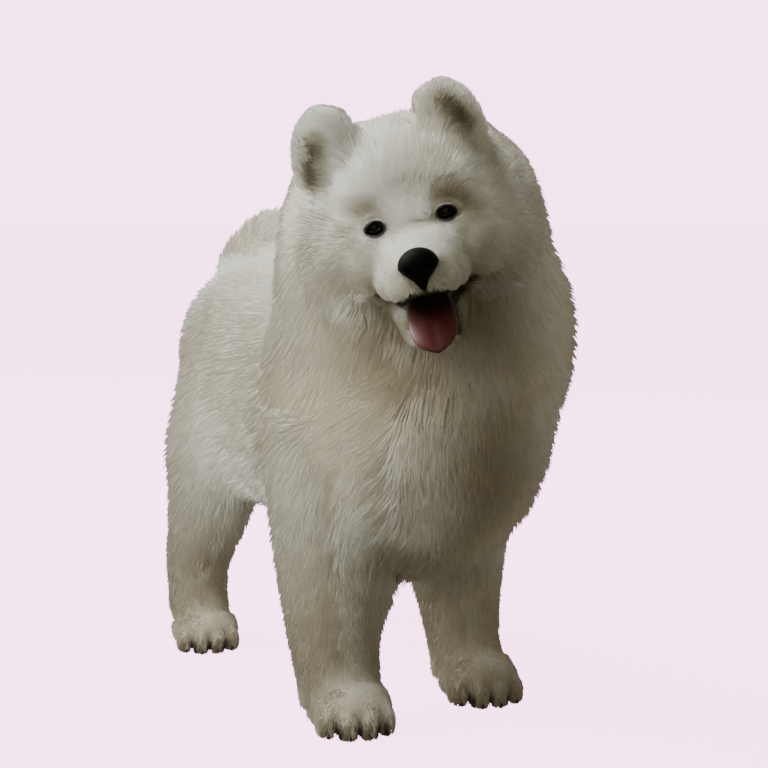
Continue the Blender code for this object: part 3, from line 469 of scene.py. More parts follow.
def apply_modifiers(obj):
    """The object's mesh as its modifiers leave it, with the modifiers then removed."""
    graph = bpy.context.evaluated_depsgraph_get()
    mesh = bpy.data.meshes.new_from_object(obj.evaluated_get(graph))
    obj.modifiers.clear()
    obj.data = mesh
    return obj


def boolean(obj, operation, other, solver="EXACT"):
    """Joins, cuts or intersects obj with another closed object, which is then removed."""
    modifier = obj.modifiers.new("boolean", "BOOLEAN")
    modifier.operation = operation
    modifier.solver = solver
    modifier.material_mode = "TRANSFER"
    modifier.object = other
    apply_modifiers(obj)
    remove(other)
    return obj


def facing_out(obj):
    """Turns every face of a closed mesh outward."""
    bm = bmesh.new()
    bm.from_mesh(obj.data)
    bmesh.ops.recalc_face_normals(bm, faces=bm.faces)
    bm.to_mesh(obj.data)
    bm.free()
    return obj


def smooth_between(stations, step):
    """The stations with more worked out between them, on a smooth curve, about a step apart."""
    rows = np.array(stations, float)
    before = np.vstack([2 * rows[0] - rows[1], rows[:-1]])
    after = np.vstack([rows[1:], 2 * rows[-1] - rows[-2]])
    slope = (after - before) / 2
    made = [rows[0]]
    for i in range(len(rows) - 1):
        a, b = rows[i], rows[i + 1]
        count = max(1, round(float(np.linalg.norm((b - a)[:3])) / step))
        for k in range(1, count + 1):
            t = k / count
            made.append(
                a * (1 + 2 * t) * (1 - t) ** 2
                + slope[i] * t * (1 - t) ** 2
                + b * t * t * (3 - 2 * t)
                + slope[i + 1] * t * t * (t - 1)
            )
    return np.array(made)


def ring_faces(rings, sides, looped=False):
    """The faces between rings of points, and from the last ring to the first where looped."""
    faces = []
    for i in range(rings if looped else rings - 1):
        here, there = i * sides, (i + 1) % rings * sides
        for k in range(sides):
            m = (k + 1) % sides
            faces.append((here + k, here + m, there + m, there + k))
    return faces


def tube(name, centres, halves, across, sides=20):
    """A closed tube of elliptic rings. across is the way, or each ring's way, of the half width."""
    centres = [Vector(c) for c in centres]
    ways = across if isinstance(across, list) else [across] * len(centres)
    points = []
    for i, (centre, half, way) in enumerate(zip(centres, halves, ways)):
        ahead = centres[min(i + 1, len(centres) - 1)] - centres[max(i - 1, 0)]
        ahead.normalize()
        side = (Vector(way) - ahead * ahead.dot(Vector(way))).normalized()
        up = ahead.cross(side)
        for k in range(sides):
            angle = 2 * math.pi * k / sides
            points.append(centre + side * half[0] * math.cos(angle) + up * half[1] * math.sin(angle))
    last = (len(centres) - 1) * sides
    faces = ring_faces(len(centres), sides)
    faces += [tuple(reversed(range(sides))), tuple(range(last, last + sides))]
    return object_from(name, points, faces)


def ellipsoid(name, centre, radii, segments=24, rings=14):
    bm = bmesh.new()
    bmesh.ops.create_uvsphere(bm, u_segments=segments, v_segments=rings, radius=1.0)
    bmesh.ops.scale(bm, vec=Vector(radii), verts=bm.verts)
    bmesh.ops.translate(bm, vec=Vector(centre), verts=bm.verts)
    mesh = bpy.data.meshes.new(name)
    bm.to_mesh(mesh)
    bm.free()
    return link(name, mesh)


def joined(name, objects):
    """One object made of others, which are then removed."""
    bm = bmesh.new()
    for obj in objects:
        bm.from_mesh(obj.data)
    mesh = bpy.data.meshes.new(name)
    bm.to_mesh(mesh)
    bm.free()
    remove(*objects)
    return link(name, mesh)


def fused(name, objects, voxel, smoothing):
    """One smooth closed body made of overlapping ones."""
    made = joined(name, objects)
    remesh = made.modifiers.new("remesh", "REMESH")
    remesh.mode = "VOXEL"
    remesh.voxel_size = voxel
    smooth = made.modifiers.new("smooth", "SMOOTH")
    smooth.factor = 0.5
    smooth.iterations = smoothing
    return apply_modifiers(made)


def fade(values, low, high):
    """Zero up to low, one from high on, and smooth between them."""
    share = np.clip((values - low) / (high - low), 0, 1)
    return share * share * (3 - 2 * share)


def spread(edges, values, count):
    """The mean of each vertex's neighbours."""
    total, met = np.zeros((count, values.shape[1])), np.zeros(count)
    for a, b in ((0, 1), (1, 0)):
        met += np.bincount(edges[:, a], minlength=count)
        for k in range(values.shape[1]):
            total[:, k] += np.bincount(edges[:, a], values[edges[:, b], k], count)
    return total / np.maximum(met, 1)[:, None]


def relax(obj, share, rounds):
    """Smooths a mesh, each vertex by its own share."""
    points = array_of(obj.data.vertices, "co", 3).astype(float)
    edges = array_of(obj.data.edges, "vertices", 2, np.int32)
    for _ in range(rounds):
        points += 0.6 * share[:, None] * (spread(edges, points, len(points)) - points)
    obj.data.vertices.foreach_set("co", points.astype(np.float32).ravel())
    obj.data.update()


def in_head(points):
    """Points of the plan in the head's frame."""
    turn = np.array(head_matrix().to_3x3())
    return (np.asarray(points, float) - np.array(EYE_LEVEL)) @ turn


def tree_of(obj):
    return BVHTree.FromObject(obj, bpy.context.evaluated_depsgraph_get())


def head_matrix():
    turn = (
        Matrix.Rotation(HEAD_YAW, 4, "Z")
        @ Matrix.Rotation(HEAD_PITCH, 4, "X")
        @ Matrix.Rotation(HEAD_ROLL, 4, "Y")
    )
    return Matrix.Translation(EYE_LEVEL) @ turn


def mirrored(centre, sign):
    return (sign * centre[0], centre[1], centre[2])


def centre_of(node):
    """The middle of a CAD node's box, in the plan's frame."""
    low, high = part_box(node)
    return (low + high) / 2 - SHIFT


def skin_rows(rows):
    """The rows of the skin under a coat: narrower by its depth, and short of both ends by it."""
    ends = (Vector(rows[0][:3]), Vector(rows[-1][:3]))
    kept = []
    for row in rows:
        if all((Vector(row[:3]) - end).length >= END_SHARE * row[5] for end in ends):
            halves = [max(half - row[5], THINNEST_SHARE * half) for half in row[3:5]]
            kept.append((*row[:3], *halves))
    return kept


def coated_tube(
    name, stations, across, bare, step=0.022, side="left", shift=(0, 0), girth=1.0, coat_share=SKIN_SHARE
):
    """A tube through the stations, as bare skin or out to the coat's surface."""
    rows = smooth_between(stations, step)
    rows[:, 3:5] *= girth
    rows[:, 5] *= coat_share
    if bare:
        rows = skin_rows(rows)
    sign = SIDES[side]
    centres = [(sign * (r[0] + shift[0]), r[1] + shift[1], r[2]) for r in rows]
    return tube(name, centres, [r[3:5] for r in rows], across)


def neck_tube(bare):
    rows = smooth_between(NECK, 0.022)
    halves = [r[3:5] for r in rows]
    if bare:
        halves = [(r[3] - SKIN_SHARE * r[5], r[4] - SKIN_SHARE * r[5]) for r in rows]
    turns = [HEAD_YAW * k / (len(rows) - 1) for k in range(len(rows))]
    across = [(math.cos(turn), math.sin(turn), 0) for turn in turns]
    return tube("neck", [r[:3] for r in rows], halves, across)


def toe_plans(plan):
    """Each toe's middle and radii: four in an arc, the middle two ahead of the others."""
    length, width, height = plan["length"], plan["width"], plan["height"]
    toes = []
    for place in (-1.5, -0.5, 0.5, 1.5):
        reach = 0.30 if abs(place) < 1 else 0.19
        centre = Vector((place * TOE_APART * width, -reach * length, 0.27 * height))
        toes.append((centre, Vector((0.136 * width, 0.205 * length, 0.40 * height))))
    return toes


def paw_matrix(plan, side, shift):
    place = Vector((SIDES[side] * (plan["x"] + shift[0]), plan["y"] + shift[1], 0.0))
    return Matrix.Translation(place) @ Matrix.Rotation(-math.radians(plan["turn"]), 4, "Z")


def paw_forms(plan, side, shift, bare):
    """The ball of the foot and its toes."""
    length, width, height = plan["length"], plan["width"], plan["height"]
    less = Vector([PAW_COAT if bare else 0.0] * 3)
    ball = Vector((0.49 * width, 0.46 * length, 0.66 * height))
    forms = [ellipsoid("ball", (0, 0.03 * length, 0.42 * height), ball - less)]
    forms += [ellipsoid("toe", centre, radii - less) for centre, radii in toe_plans(plan)]
    for form in forms:
        form.data.transform(paw_matrix(plan, side, shift))
    return forms


def body_forms(bare):
    """The trunk, neck, legs and tail, as bare skin or out to the coat's surface."""
    forms = [coated_tube("trunk", TRUNK, (1, 0, 0), bare), neck_tube(bare)]
    forms.append(coated_tube("tail", TAIL, TAIL_ACROSS, bare))
    for side in SIDES:
        fore, hind = FORE_SHIFT[side], HIND_SHIFT[side]
        girth = FORE_GIRTH[side]
        forms.append(coated_tube("foreleg", FORELEG, (1, 0, 0), bare, 0.022, side, fore, girth))
        forms.append(coated_tube("hind_leg", HIND_LEG, (1, 0, 0), bare, 0.022, side, hind))
    return forms


def foot_forms(bare):
    """The forms of each foot, as bare skin or out to the coat's surface."""
    feet = [paw_forms(FORE_PAW, side, FORE_SHIFT[side], bare) for side in SIDES]
    feet += [paw_forms(HIND_PAW, side, HIND_SHIFT[side], bare) for side in SIDES]
    return feet


def ear_form(side, bare):
    """An ear, in the head's frame."""
    sign = SIDES[side]
    turn = math.radians(EAR_TURN)
    way = (math.cos(turn), sign * math.sin(turn), 0)
    rows = smooth_between(EAR, 0.014)
    if bare:
        rows = skin_rows(rows)
    centres = [mirrored(r[:3], sign) for r in rows]
    ear = tube("ear", centres, [r[3:5] for r in rows], way)
    ear.data.transform(Matrix.Translation((EAR_SHIFT[side], 0, 0)))
    return ear


def ear_cup(side):
    """The hollow of an ear, in the head's frame."""
    sign = SIDES[side]
    cup = ellipsoid("cup", (0, 0, 0), EAR_CUP["radii"])
    lean = Matrix.Rotation(sign * math.radians(EAR_CUP["lean"]), 4, "Y")
    place = Matrix.Translation(Vector(mirrored(EAR_CUP["centre"], sign)))
    cup.data.transform(Matrix.Translation((EAR_SHIFT[side], 0, 0)) @ place @ lean)
    return cup


def head_forms(bare):
    """The skull, cheeks, brows, muzzle, lips and jaw, in the head's frame."""
    forms = []
    for centre, radii, coat in SKULL:
        forms.append(ellipsoid("skull", centre, Vector(radii) - Vector([coat * bare] * 3)))
    for sign in SIDES.values():
        for centre, radii, coat in (*CHEEKS, BROW, *LIPS):
            less = Vector([coat * bare] * 3)
            forms.append(ellipsoid("cheek", mirrored(centre, sign), Vector(radii) - less))
    for name, table in (("muzzle", MUZZLE), ("jaw", JAW)):
        stations = [(0, *row) for row in table]
        forms.append(coated_tube(name, stations, (1, 0, 0), bare, 0.008, coat_share=1.0))
    return forms


def mouth_cutter():
    """The open mouth: a wedge between palate and lower jaw, narrower between the upper lips."""
    points = []
    for y, heights, halves in MOUTH:
        points += [(half, y, z) for z, half in zip(heights, halves)]
        points += [(-half, y, z) for z, half in reversed(list(zip(heights, halves)))]
    faces = ring_faces(len(MOUTH), 6)
    faces += [tuple(range(6)), tuple(range(len(points) - 6, len(points)))]
    return facing_out(object_from("mouth", points, faces))


def almond(sign, angle, grow=0.0):
    """A point of the edge between the lids, in the head's frame about the eye: x and z."""
    half, high = EYE_OPENING["half_width"] + grow, EYE_OPENING["half_height"] + grow
    x, z = math.cos(angle), math.sin(angle)
    out = max(0.0, sign * x)
    x *= half * (1 + 0.12 * out)
    z = z * high * (1 - 0.55 * out * out) - EYE_OPENING["corner_drop"] * out * out
    return x, z


def eye_opening(centre, sign):
    """A closed prism through the lids, as wide as the opening between them."""
    count = 32
    points = []
    for depth in (-0.030, 0.002):
        for k in range(count):
            x, z = almond(sign, 2 * math.pi * k / count)
            points.append((centre.x + x, centre.y + depth, centre.z + z))
    faces = ring_faces(2, count)
    faces += [tuple(range(count)), tuple(range(count, 2 * count))]
    return facing_out(object_from("opening", points, faces))


def eye_centres():
    """The middle of each eyeball, in the head's frame."""
    to_head = head_matrix().inverted()
    return {side: to_head @ centre_of(f"eye_{side}") for side in SIDES}


def painted(obj, material):
    """Gives obj one material."""
    obj.data.materials.clear()
    obj.data.materials.append(material)
    return obj


def lip_line(head):
    """The edge of the open mouth on the head's skin, as points in order round it."""
    bm = bmesh.new()
    bm.from_mesh(head.data)
    rim = {}
    for edge in bm.edges:
        if len({face.material_index for face in edge.link_faces}) == 2:
            ends = [vert.index for vert in edge.verts]
            for here, there in (ends, ends[::-1]):
                rim.setdefault(here, []).append(there)
    places = [vert.co.copy() for vert in bm.verts]
    bm.free()
    longest = []
    while rim:
        walk = [next(iter(rim))]
        while rim.get(walk[-1]):
            there = rim[walk[-1]].pop()
            if walk[-1] in rim.get(there, []):
                rim[there].remove(walk[-1])
            walk.append(there)
        rim = {here: others for here, others in rim.items() if others}
        longest = max(longest, walk, key=len)
    return [places[i] for i in longest[:-1]]


def ring_tube(name, line, radius, thins, sides=8):
    """A closed loop of tube along a smoothed line, thin where the line is low."""
    points = np.array(line)
    for _ in range(6):
        points = (np.roll(points, 1, axis=0) + 2 * points + np.roll(points, -1, axis=0)) / 4
    steps = np.linalg.norm(np.roll(points, -1, axis=0) - points, axis=1)
    at = np.concatenate([[0], np.cumsum(steps)])
    count = int(at[-1] / (1.2 * radius))
    closed = np.vstack([points, points[:1]])
    places = np.linspace(0, at[-1], count, endpoint=False)
    points = np.stack([np.interp(places, at, closed[:, k]) for k in range(3)], axis=1)
    ahead = unit(np.roll(points, -1, axis=0) - np.roll(points, 1, axis=0))
    side = unit(np.cross(ahead, (0.0, 0.0, 1.0)))
    up = np.cross(side, ahead)
    thick = radius * (0.35 + 0.65 * fade(points[:, 2:], *thins))
    rings = []
    for k in range(sides):
        angle = 2 * math.pi * k / sides
        rings.append(points + thick * (side * math.cos(angle) + up * math.sin(angle)))
    verts = np.stack(rings, axis=1).reshape(-1, 3)
    return facing_out(object_from(name, verts, ring_faces(count, sides, looped=True)))


def near_spot(points, centre, radii, inner=0.2, outer=1.0):
    """One at a centre, falling to nothing between inner and outer times the radii from it."""
    return 1 - fade(np.linalg.norm((points - np.array(centre)) / radii, axis=1), inner, outer)


def near_stop(local, reach=1.0):
    """One at the stop between the eyes, and nothing away from it."""
    return near_spot(local, *STOP, 0.4 * reach, reach)


def build_skin(looks):
    """One skin for the whole dog, with its mouth, eye sockets and ear cups open, and its lips."""
    eyes = eye_centres()
    forms = [fused("face", head_forms(True), HEAD_VOXEL, 10)]
    forms += [ear_form(side, True) for side in SIDES]
    forms += [ellipsoid("lids", eyes[side], LID_MOUND) for side in SIDES]
    head = painted(fused("head_skin", forms, HEAD_VOXEL, 4), looks["skin"])
    boolean(head, "DIFFERENCE", painted(mouth_cutter(), looks["mouth"]))
    lips = ring_tube("lips", lip_line(head), LIP_RADIUS, LIP_FADE)
    for side, sign in SIDES.items():
        boolean(head, "DIFFERENCE", painted(ear_cup(side), looks["skin"]))
        boolean(head, "DIFFERENCE", painted(eye_opening(eyes[side], sign), looks["rim"]))
        socket = ellipsoid("socket", eyes[side], [EYE_RADIUS + 0.0003] * 3, 32, 20)
        boolean(head, "DIFFERENCE", painted(socket, looks["rim"]))
    for piece in (head, lips):
        piece.data.transform(head_matrix())
    skin = painted(fused("skin", body_forms(True), BODY_VOXEL, 6), looks["skin"])
    for forms in foot_forms(True):
        boolean(skin, "UNION", painted(fused("foot", forms, FOOT_VOXEL, 3), looks["skin"]))
    points = array_of(skin.data.vertices, "co", 3)
    ankle = fade(points[:, 2], *ANKLE[:2]) * (1 - fade(points[:, 2], *ANKLE[2:]))
    relax(skin, np.maximum(ankle, near_stop(in_head(points), STOP_SMOOTHED)), 28)
    boolean(skin, "UNION", head)
    for vert in skin.data.vertices:
        vert.co.z = max(vert.co.z, SOLE_LEVEL)
    skin.data.shade_smooth()
    lips.data.shade_smooth()
    return skin, lips


def build_outline():
    """The coat's outer surface, which the tips of the tufts reach: one smooth form."""
    forms = [*head_forms(False), *(ear_form(side, False) for side in SIDES)]
    for centre, radii in JOWLS:
        forms += [ellipsoid("jowl", mirrored(centre, sign), radii) for sign in SIDES.values()]
    for form in forms:
        form.data.transform(head_matrix())
    forms += body_forms(False)
    forms += [form for foot in foot_forms(False) for form in foot]
    for side, sign in SIDES.items():
        centre = Vector(mirrored(ARCH[0], sign)) + Vector((0, FORE_SHIFT[side][1], 0))
        forms.append(ellipsoid("arch", centre, ARCH[1]))
    outline = fused("outline", forms, OUTLINE_VOXEL, 4)
    points = array_of(outline.data.vertices, "co", 3).astype(float)
    local = in_head(points)
    behind = np.maximum(fade(local[:, 1], *BEHIND_FACE), fade(-local[:, 2], *BELOW_FACE))
    back, out = BESIDE_MUZZLE
    beside = fade(local[:, 1], *back) * fade(np.abs(local[:, 0]), *out)
    share = np.maximum(np.maximum(behind, 0.7 * beside), near_stop(local, STOP_SMOOTHED))
    share *= fade(points[:, 2], *SMOOTH_ABOVE)
    for side, sign in SIDES.items():
        ear = np.array([mirrored(row[:3], sign) for row in EAR]) + (EAR_SHIFT[side], 0, 0)
        apart = np.linalg.norm(local[:, None] - ear[None], axis=2).min(axis=1)
        share *= fade(apart, *SMOOTH_FROM_EARS)
    relax(outline, share, 60)
    tree = tree_of(outline)
    remove(outline)
    return tree


def array_of(items, name, width, kind=np.float32):
    """One property of every item of a mesh, as rows of an array."""
    values = np.empty(len(items) * width, kind)
    items.foreach_get(name, values)
    return values.reshape(-1, width) if width > 1 else values


def unit(rows):
    return rows / np.maximum(np.linalg.norm(rows, axis=1, keepdims=True), 1e-9)


def guides():
    """What each region's coat follows: its name, points along it, their radii and its lie."""
    made = []

    def along(name, stations, lie, side="left", shift=(0, 0)):
        rows = smooth_between(stations, 0.022)
        places = rows[:, :3].copy()
        places[:, 0] = SIDES[side] * (places[:, 0] + shift[0])
        places[:, 1] += shift[1]
        ways = lie if callable(lie) else np.tile(np.array(lie, float), (len(rows), 1))
        made.append((name, places, rows[:, 3:5].mean(axis=1), ways))

    along("trunk", TRUNK, lie_of_trunk)
    along("neck", NECK, (0, 0.45, -1))
    for side in SIDES:
        along("forelegs", FORELEG, (0, 0.15, -1), side, FORE_SHIFT[side])
        along("hind_legs", HIND_LEG, (0, 0.35, -1), side, HIND_SHIFT[side])
    rows = smooth_between(TAIL, 0.022)
    ahead = unit(np.gradient(rows[:, :3], axis=0)) + np.array((0, 0, -0.35))
    made.append(("tail", rows[:, :3], rows[:, 3:5].mean(axis=1), ahead))
    to_plan = head_matrix()
    for side, sign in SIDES.items():
        shift = Vector((EAR_SHIFT[side], 0, 0))
        places = np.array([to_plan @ (Vector(mirrored(row[:3], sign)) + shift) for row in EAR[1:]])
        made.append(("ears", places, np.array([(r[3] + r[4]) / 2 for r in EAR[1:]]), lie_of_ears))
    balls = [(centre, radii) for centre, radii, _ in SKULL]
    for sign in SIDES.values():
        balls += [(mirrored(centre, sign), radii) for centre, radii, _ in (*CHEEKS, *LIPS)]
    balls += [((0, y, z), (w, h, h)) for y, z, w, h, _ in (*MUZZLE, *JAW)]
    places = np.array([to_plan @ Vector(centre) for centre, _ in balls])
    made.append(("head", places, np.array([np.mean(radii) for _, radii in balls]), lie_of_head))
    return made


def lie_of_trunk(points):
    """The lie of the trunk's coat: back along the flanks, and down over the rump."""
    rump = fade(points[:, 1], *RUMP)[:, None]
    return (1 - rump) * np.array((0.0, 0.88, -0.48)) + rump * np.array((0.0, 0.10, -1.0))


def lie_of_head(points):
    """The lie of the face's coat: away from the nose and from the eyes, and down the cheeks."""
    local = in_head(points)
    way = unit(local - np.array(LIE_FROM))
    low = np.clip((0.02 - local[:, 2]) / 0.05, 0, 1)
    outer = np.clip((np.abs(local[:, 0]) - 0.03) / 0.06, 0, 1)
    way[:, 2] -= 0.9 * low * outer
    way[:, 1] += 0.25
    for eye in eye_centres().values():
        apart = (local - np.array(eye)) * (1, 0, 1)
        far = np.linalg.norm(apart, axis=1)
        way += 3.0 * (1 - fade(far, 0.012, 0.032))[:, None] * unit(apart)
    return way @ np.array(head_matrix().to_3x3()).T


def lie_of_ears(points):
    """The lie of the ears' coat: up to the tips, and from the inner edge over the hollow."""
    local = in_head(points)
    way = np.tile(np.array((0.0, 0.15, 1.0)), (len(points), 1))
    for side, sign in SIDES.items():
        cup = np.array(mirrored(EAR_CUP["centre"], sign)) + (EAR_SHIFT[side], 0, 0)
        apart = (local - cup) / (0.030, 0.030, 0.044)
        near = 1 - fade(np.linalg.norm(apart, axis=1), 0.5, 1.2)
        inner = near * fade(-sign * apart[:, 0], -0.3, 0.3)
        way[:, 0] += 1.6 * sign * inner
        way[:, 2] -= 0.9 * inner
        way[:, 0] += 0.25 * sign * (local[:, 0] * sign > 0)
    return way @ np.array(head_matrix().to_3x3()).T


def from_stroke(local, start, end):
    """How far points of the head are from the line between two places, seen from the front."""
    start, end = np.array(start), np.array(end)
    flat = local[:, (0, 2)] - start
    along = np.clip(flat @ (end - start) / ((end - start) @ (end - start)), 0, 1)
    return np.linalg.norm(flat - along[:, None] * (end - start), axis=1)


def tints(points):
    """How brown and how dark the coat and skin are at points of the plan, from marks and painted shade.
    """
    points = np.asarray(points, float)
    local = in_head(points)
    tan_and_shade, dark = np.zeros(len(points)), np.zeros(len(points))
    # Black lips, brown that is partly painted shade on the cheeks, and painted shade in the ears'
    # hollows.
    for start, end, half, back, tan_and_shade_share, dark_share in STROKES:
        apart = from_stroke(local, start, end) / half
        near = (1 - fade(apart, 0.5, 1.2)) * (1 - fade(local[:, 1], back, back + 0.01))
        tan_and_shade = np.maximum(tan_and_shade, tan_and_shade_share * near)
        dark = np.maximum(dark, dark_share * near)
    # Painted shade on the chest below the head.
    for centre, radii, strength in CHEST_SHADE:
        tan_and_shade = np.maximum(tan_and_shade, strength * near_spot(points, centre, radii))
    for side, sign in SIDES.items():
        # Biscuit marks, partly painted shade above the eyes and under the chin.
        for centre, radii, strength in TAN_AND_SHADE_MARKS:
            tan_and_shade = np.maximum(tan_and_shade, strength * near_spot(local, mirrored(centre, sign), radii))
        apart = local - np.array(eye_centres()[side])
        ring = np.hypot(apart[:, 0] / EYE_MARK[0], apart[:, 2] / EYE_MARK[1])
        dark = np.maximum(dark, 0.95 * (1 - fade(ring, 1.0, EYE_MARK[2])) * (apart[:, 1] < 0.01))
    # The legs grow darker and warmer towards the floor.
    top, foot, strength = LEG_DARKENING
    tan_and_shade = np.maximum(tan_and_shade, strength * fade(top - points[:, 2], 0.0, top - foot))
    # Painted shade in the gaps between the toes.
    high, back, half = TOE_GAP_SHADE
    for plan, shifts in ((FORE_PAW, FORE_SHIFT), (HIND_PAW, HIND_SHIFT)):
        for side in SIDES:
            turn = paw_matrix(plan, side, shifts[side]).inverted()
            foot = points @ np.array(turn.to_3x3()).T + np.array(turn.translation)
            for place in (-1, 0, 1):
                across = np.abs(foot[:, 0] - place * TOE_APART * plan["width"])
                front = -0.36 * plan["length"]
                gap_shade = 1 - fade(across, 0.4 * half, 1.6 * half)
                gap_shade *= 1 - fade(foot[:, 2], 0.5 * high, high)
                gap_shade *= 1 - fade(foot[:, 1] - front, 0.5 * back, back)
                dark = np.maximum(dark, gap_shade)
    return tan_and_shade, dark


def coat_fields(mesh, outline):
    """For each vertex of the skin: its region, the coat's lie and the coat's depth."""
    points = array_of(mesh.vertices, "co", 3).astype(float)
    normals = array_of(mesh.vertex_normals, "vector", 3).astype(float)
    near, ways, names = [], [], []
    for name, places, radii, lie in guides():
        apart = np.linalg.norm(points[:, None] - places[None], axis=2) / radii[None]
        closest = apart.argmin(axis=1)
        near.append(apart.min(axis=1))
        names.append(name)
        ways.append(lie(points) if callable(lie) else unit(lie)[closest])
    near = np.array(near)
    weight = 1 / (near**8 + 1e-5)
    lie = unit((weight[:, :, None] * np.array(ways)).sum(axis=0))
    foot = 1 - fade(points[:, 2:], *PAW_LIE_FROM)
    lie = lie * (1 - foot) + np.array(PAW_LIE) * foot
    lie -= normals * (lie * normals).sum(axis=1, keepdims=True)
    region = np.array([names[r] for r in near.argmin(axis=0)])
    region[points[:, 2] < PAW_TOP] = "paws"
    depth = np.empty(len(points))
    for i, (point, normal) in enumerate(zip(points, normals)):
        hit = outline.ray_cast(Vector(point), Vector(normal), DEEPEST)[3]
        depth[i] = SHORTEST if hit is None else hit
    edges = array_of(mesh.edges, "vertices", 2, np.int32)
    for _ in range(12):
        depth = spread(edges, depth[:, None], len(points))[:, 0]
    limit, bare = face_limits(points)
    limit = np.minimum(limit, deepening(points[:, 2], PAW_TOP, PAW_DEEPEST, PAW_RISE))
    return {
        "point": points,
        "normal": normals,
        "lie": unit(lie),
        "depth": np.minimum(np.clip(depth, SHORTEST, DEEPEST), limit),
        "region": region,
        "bare": bare | (points[:, 2] < SOLE),
    }


def deepening(apart, start, short, rise):
    """A coat's depth: short up to a distance from a place, and deeper from there on."""
    return short + rise * np.maximum(apart - start, 0)


def face_limits(points):
    """How deep the coat may be near the eyes, the mouth and the nose, and where there is none."""
    mouth = mouth_cutter()
    mouth_tree = tree_of(mouth)
    remove(mouth)
    local = in_head(points)
    back, down = NAPE
    nape = fade(local[:, 1], *back) * fade(-local[:, 2], *down)
    limit = FACE_DEEPEST + (NAPE_DEEPEST - FACE_DEEPEST) * nape
    limit = np.where(np.linalg.norm(local, axis=1) < FACE_REACH, limit, DEEPEST)
    bare = np.zeros(len(points), bool)
    place, *bridge = BRIDGE
    limit = np.minimum(limit, deepening(np.linalg.norm(local - np.array(place), axis=1), *bridge))
    for eye in eye_centres().values():
        apart = local - np.array(eye)
        ring = np.hypot(apart[:, 0] / EYE_BARE[0], apart[:, 2] / EYE_BARE[1])
        bare |= (ring < 1) & (apart[:, 1] < 0.012)
        apart = np.linalg.norm(apart, axis=1)
        limit = np.minimum(limit, deepening(apart, EYE_RADIUS, FACE_SHORTEST, EYE_RISE))
    apart = np.linalg.norm(local - np.array(in_head(centre_of("nose"))), axis=1)
    bare |= apart < NOSE_BARE
    limit = np.minimum(limit, deepening(apart, NOSE_BARE, FACE_SHORTEST, MOUTH_RISE))
    for i in np.flatnonzero(np.linalg.norm(local, axis=1) < MOUTH_REACH):
        hit = mouth_tree.find_nearest(Vector(local[i]))
        limit[i] = min(limit[i], FACE_SHORTEST + MOUTH_RISE * hit[3])
        bare[i] |= hit[3] < LIP_BARE
    return limit, bare


def unwrap(obj):
    """The skin's own unwrap, which the coat's patches lie on."""
    bpy.context.view_layer.objects.active = obj
    obj.select_set(True)
    bpy.ops.object.mode_set(mode="EDIT")
    bpy.ops.mesh.select_all(action="SELECT")
    obj.data.uv_layers.new(name="OFBake")
    bpy.ops.uv.smart_project(angle_limit=math.radians(66), island_margin=0.002)
    bpy.ops.object.mode_set(mode="OBJECT")
    obj.select_set(False)


def roots_of(skin, fields, region, count, draw):
    """Where tufts are rooted: points over a region's triangles, closer where tufts are short."""
    mesh = skin.data
    mesh.calc_loop_triangles()
    corners = array_of(mesh.loop_triangles, "vertices", 3, np.int32)
    loops = array_of(mesh.loop_triangles, "loops", 3, np.int32)
    uv = array_of(mesh.uv_layers["OFBake"].uv, "vector", 2)
    grows = (fields["region"][corners[:, 0]] == region) & ~fields["bare"][corners].any(axis=1)
    corners, loops = corners[grows], loops[grows]
    a, b, c = (fields["point"][corners[:, k]] for k in range(3))
    area = np.linalg.norm(np.cross(b - a, c - a), axis=1) / 2
    depth = fields["depth"][corners].mean(axis=1)
    share = area / (depth + DENSITY_DEPTH) ** 2
    picked = draw.choice(len(area), count, p=share / share.sum())
    weight = draw.dirichlet((1, 1, 1), count)
    mixed = {}
    for name in ("point", "normal", "lie"):
        mixed[name] = (fields[name][corners[picked]] * weight[:, :, None]).sum(axis=1)
    depth = (fields["depth"][corners[picked]] * weight).sum(axis=1)
    mixed["depth"] = np.minimum(depth, COAT[region]["deepest"])
    mixed["uv"] = (uv[loops[picked]] * weight[:, :, None]).sum(axis=1)
    mixed["normal"] = unit(mixed["normal"])
    return mixed


def turned(ways, normals, angles):
    """The ways turned about the normals by these angles."""
    ways = unit(ways - normals * (ways * normals).sum(axis=1, keepdims=True))
    side = np.cross(normals, ways)
    return ways * np.cos(angles)[:, None] + side * np.sin(angles)[:, None]


def nearest_on(outline, points):
    """The nearest place of the outline to each point, and the way out of it."""
    places, ways = np.empty_like(points), np.empty_like(points)
    for i, point in enumerate(points):
        places[i], ways[i] = outline.find_nearest(Vector(point))[:2]
    return places, ways


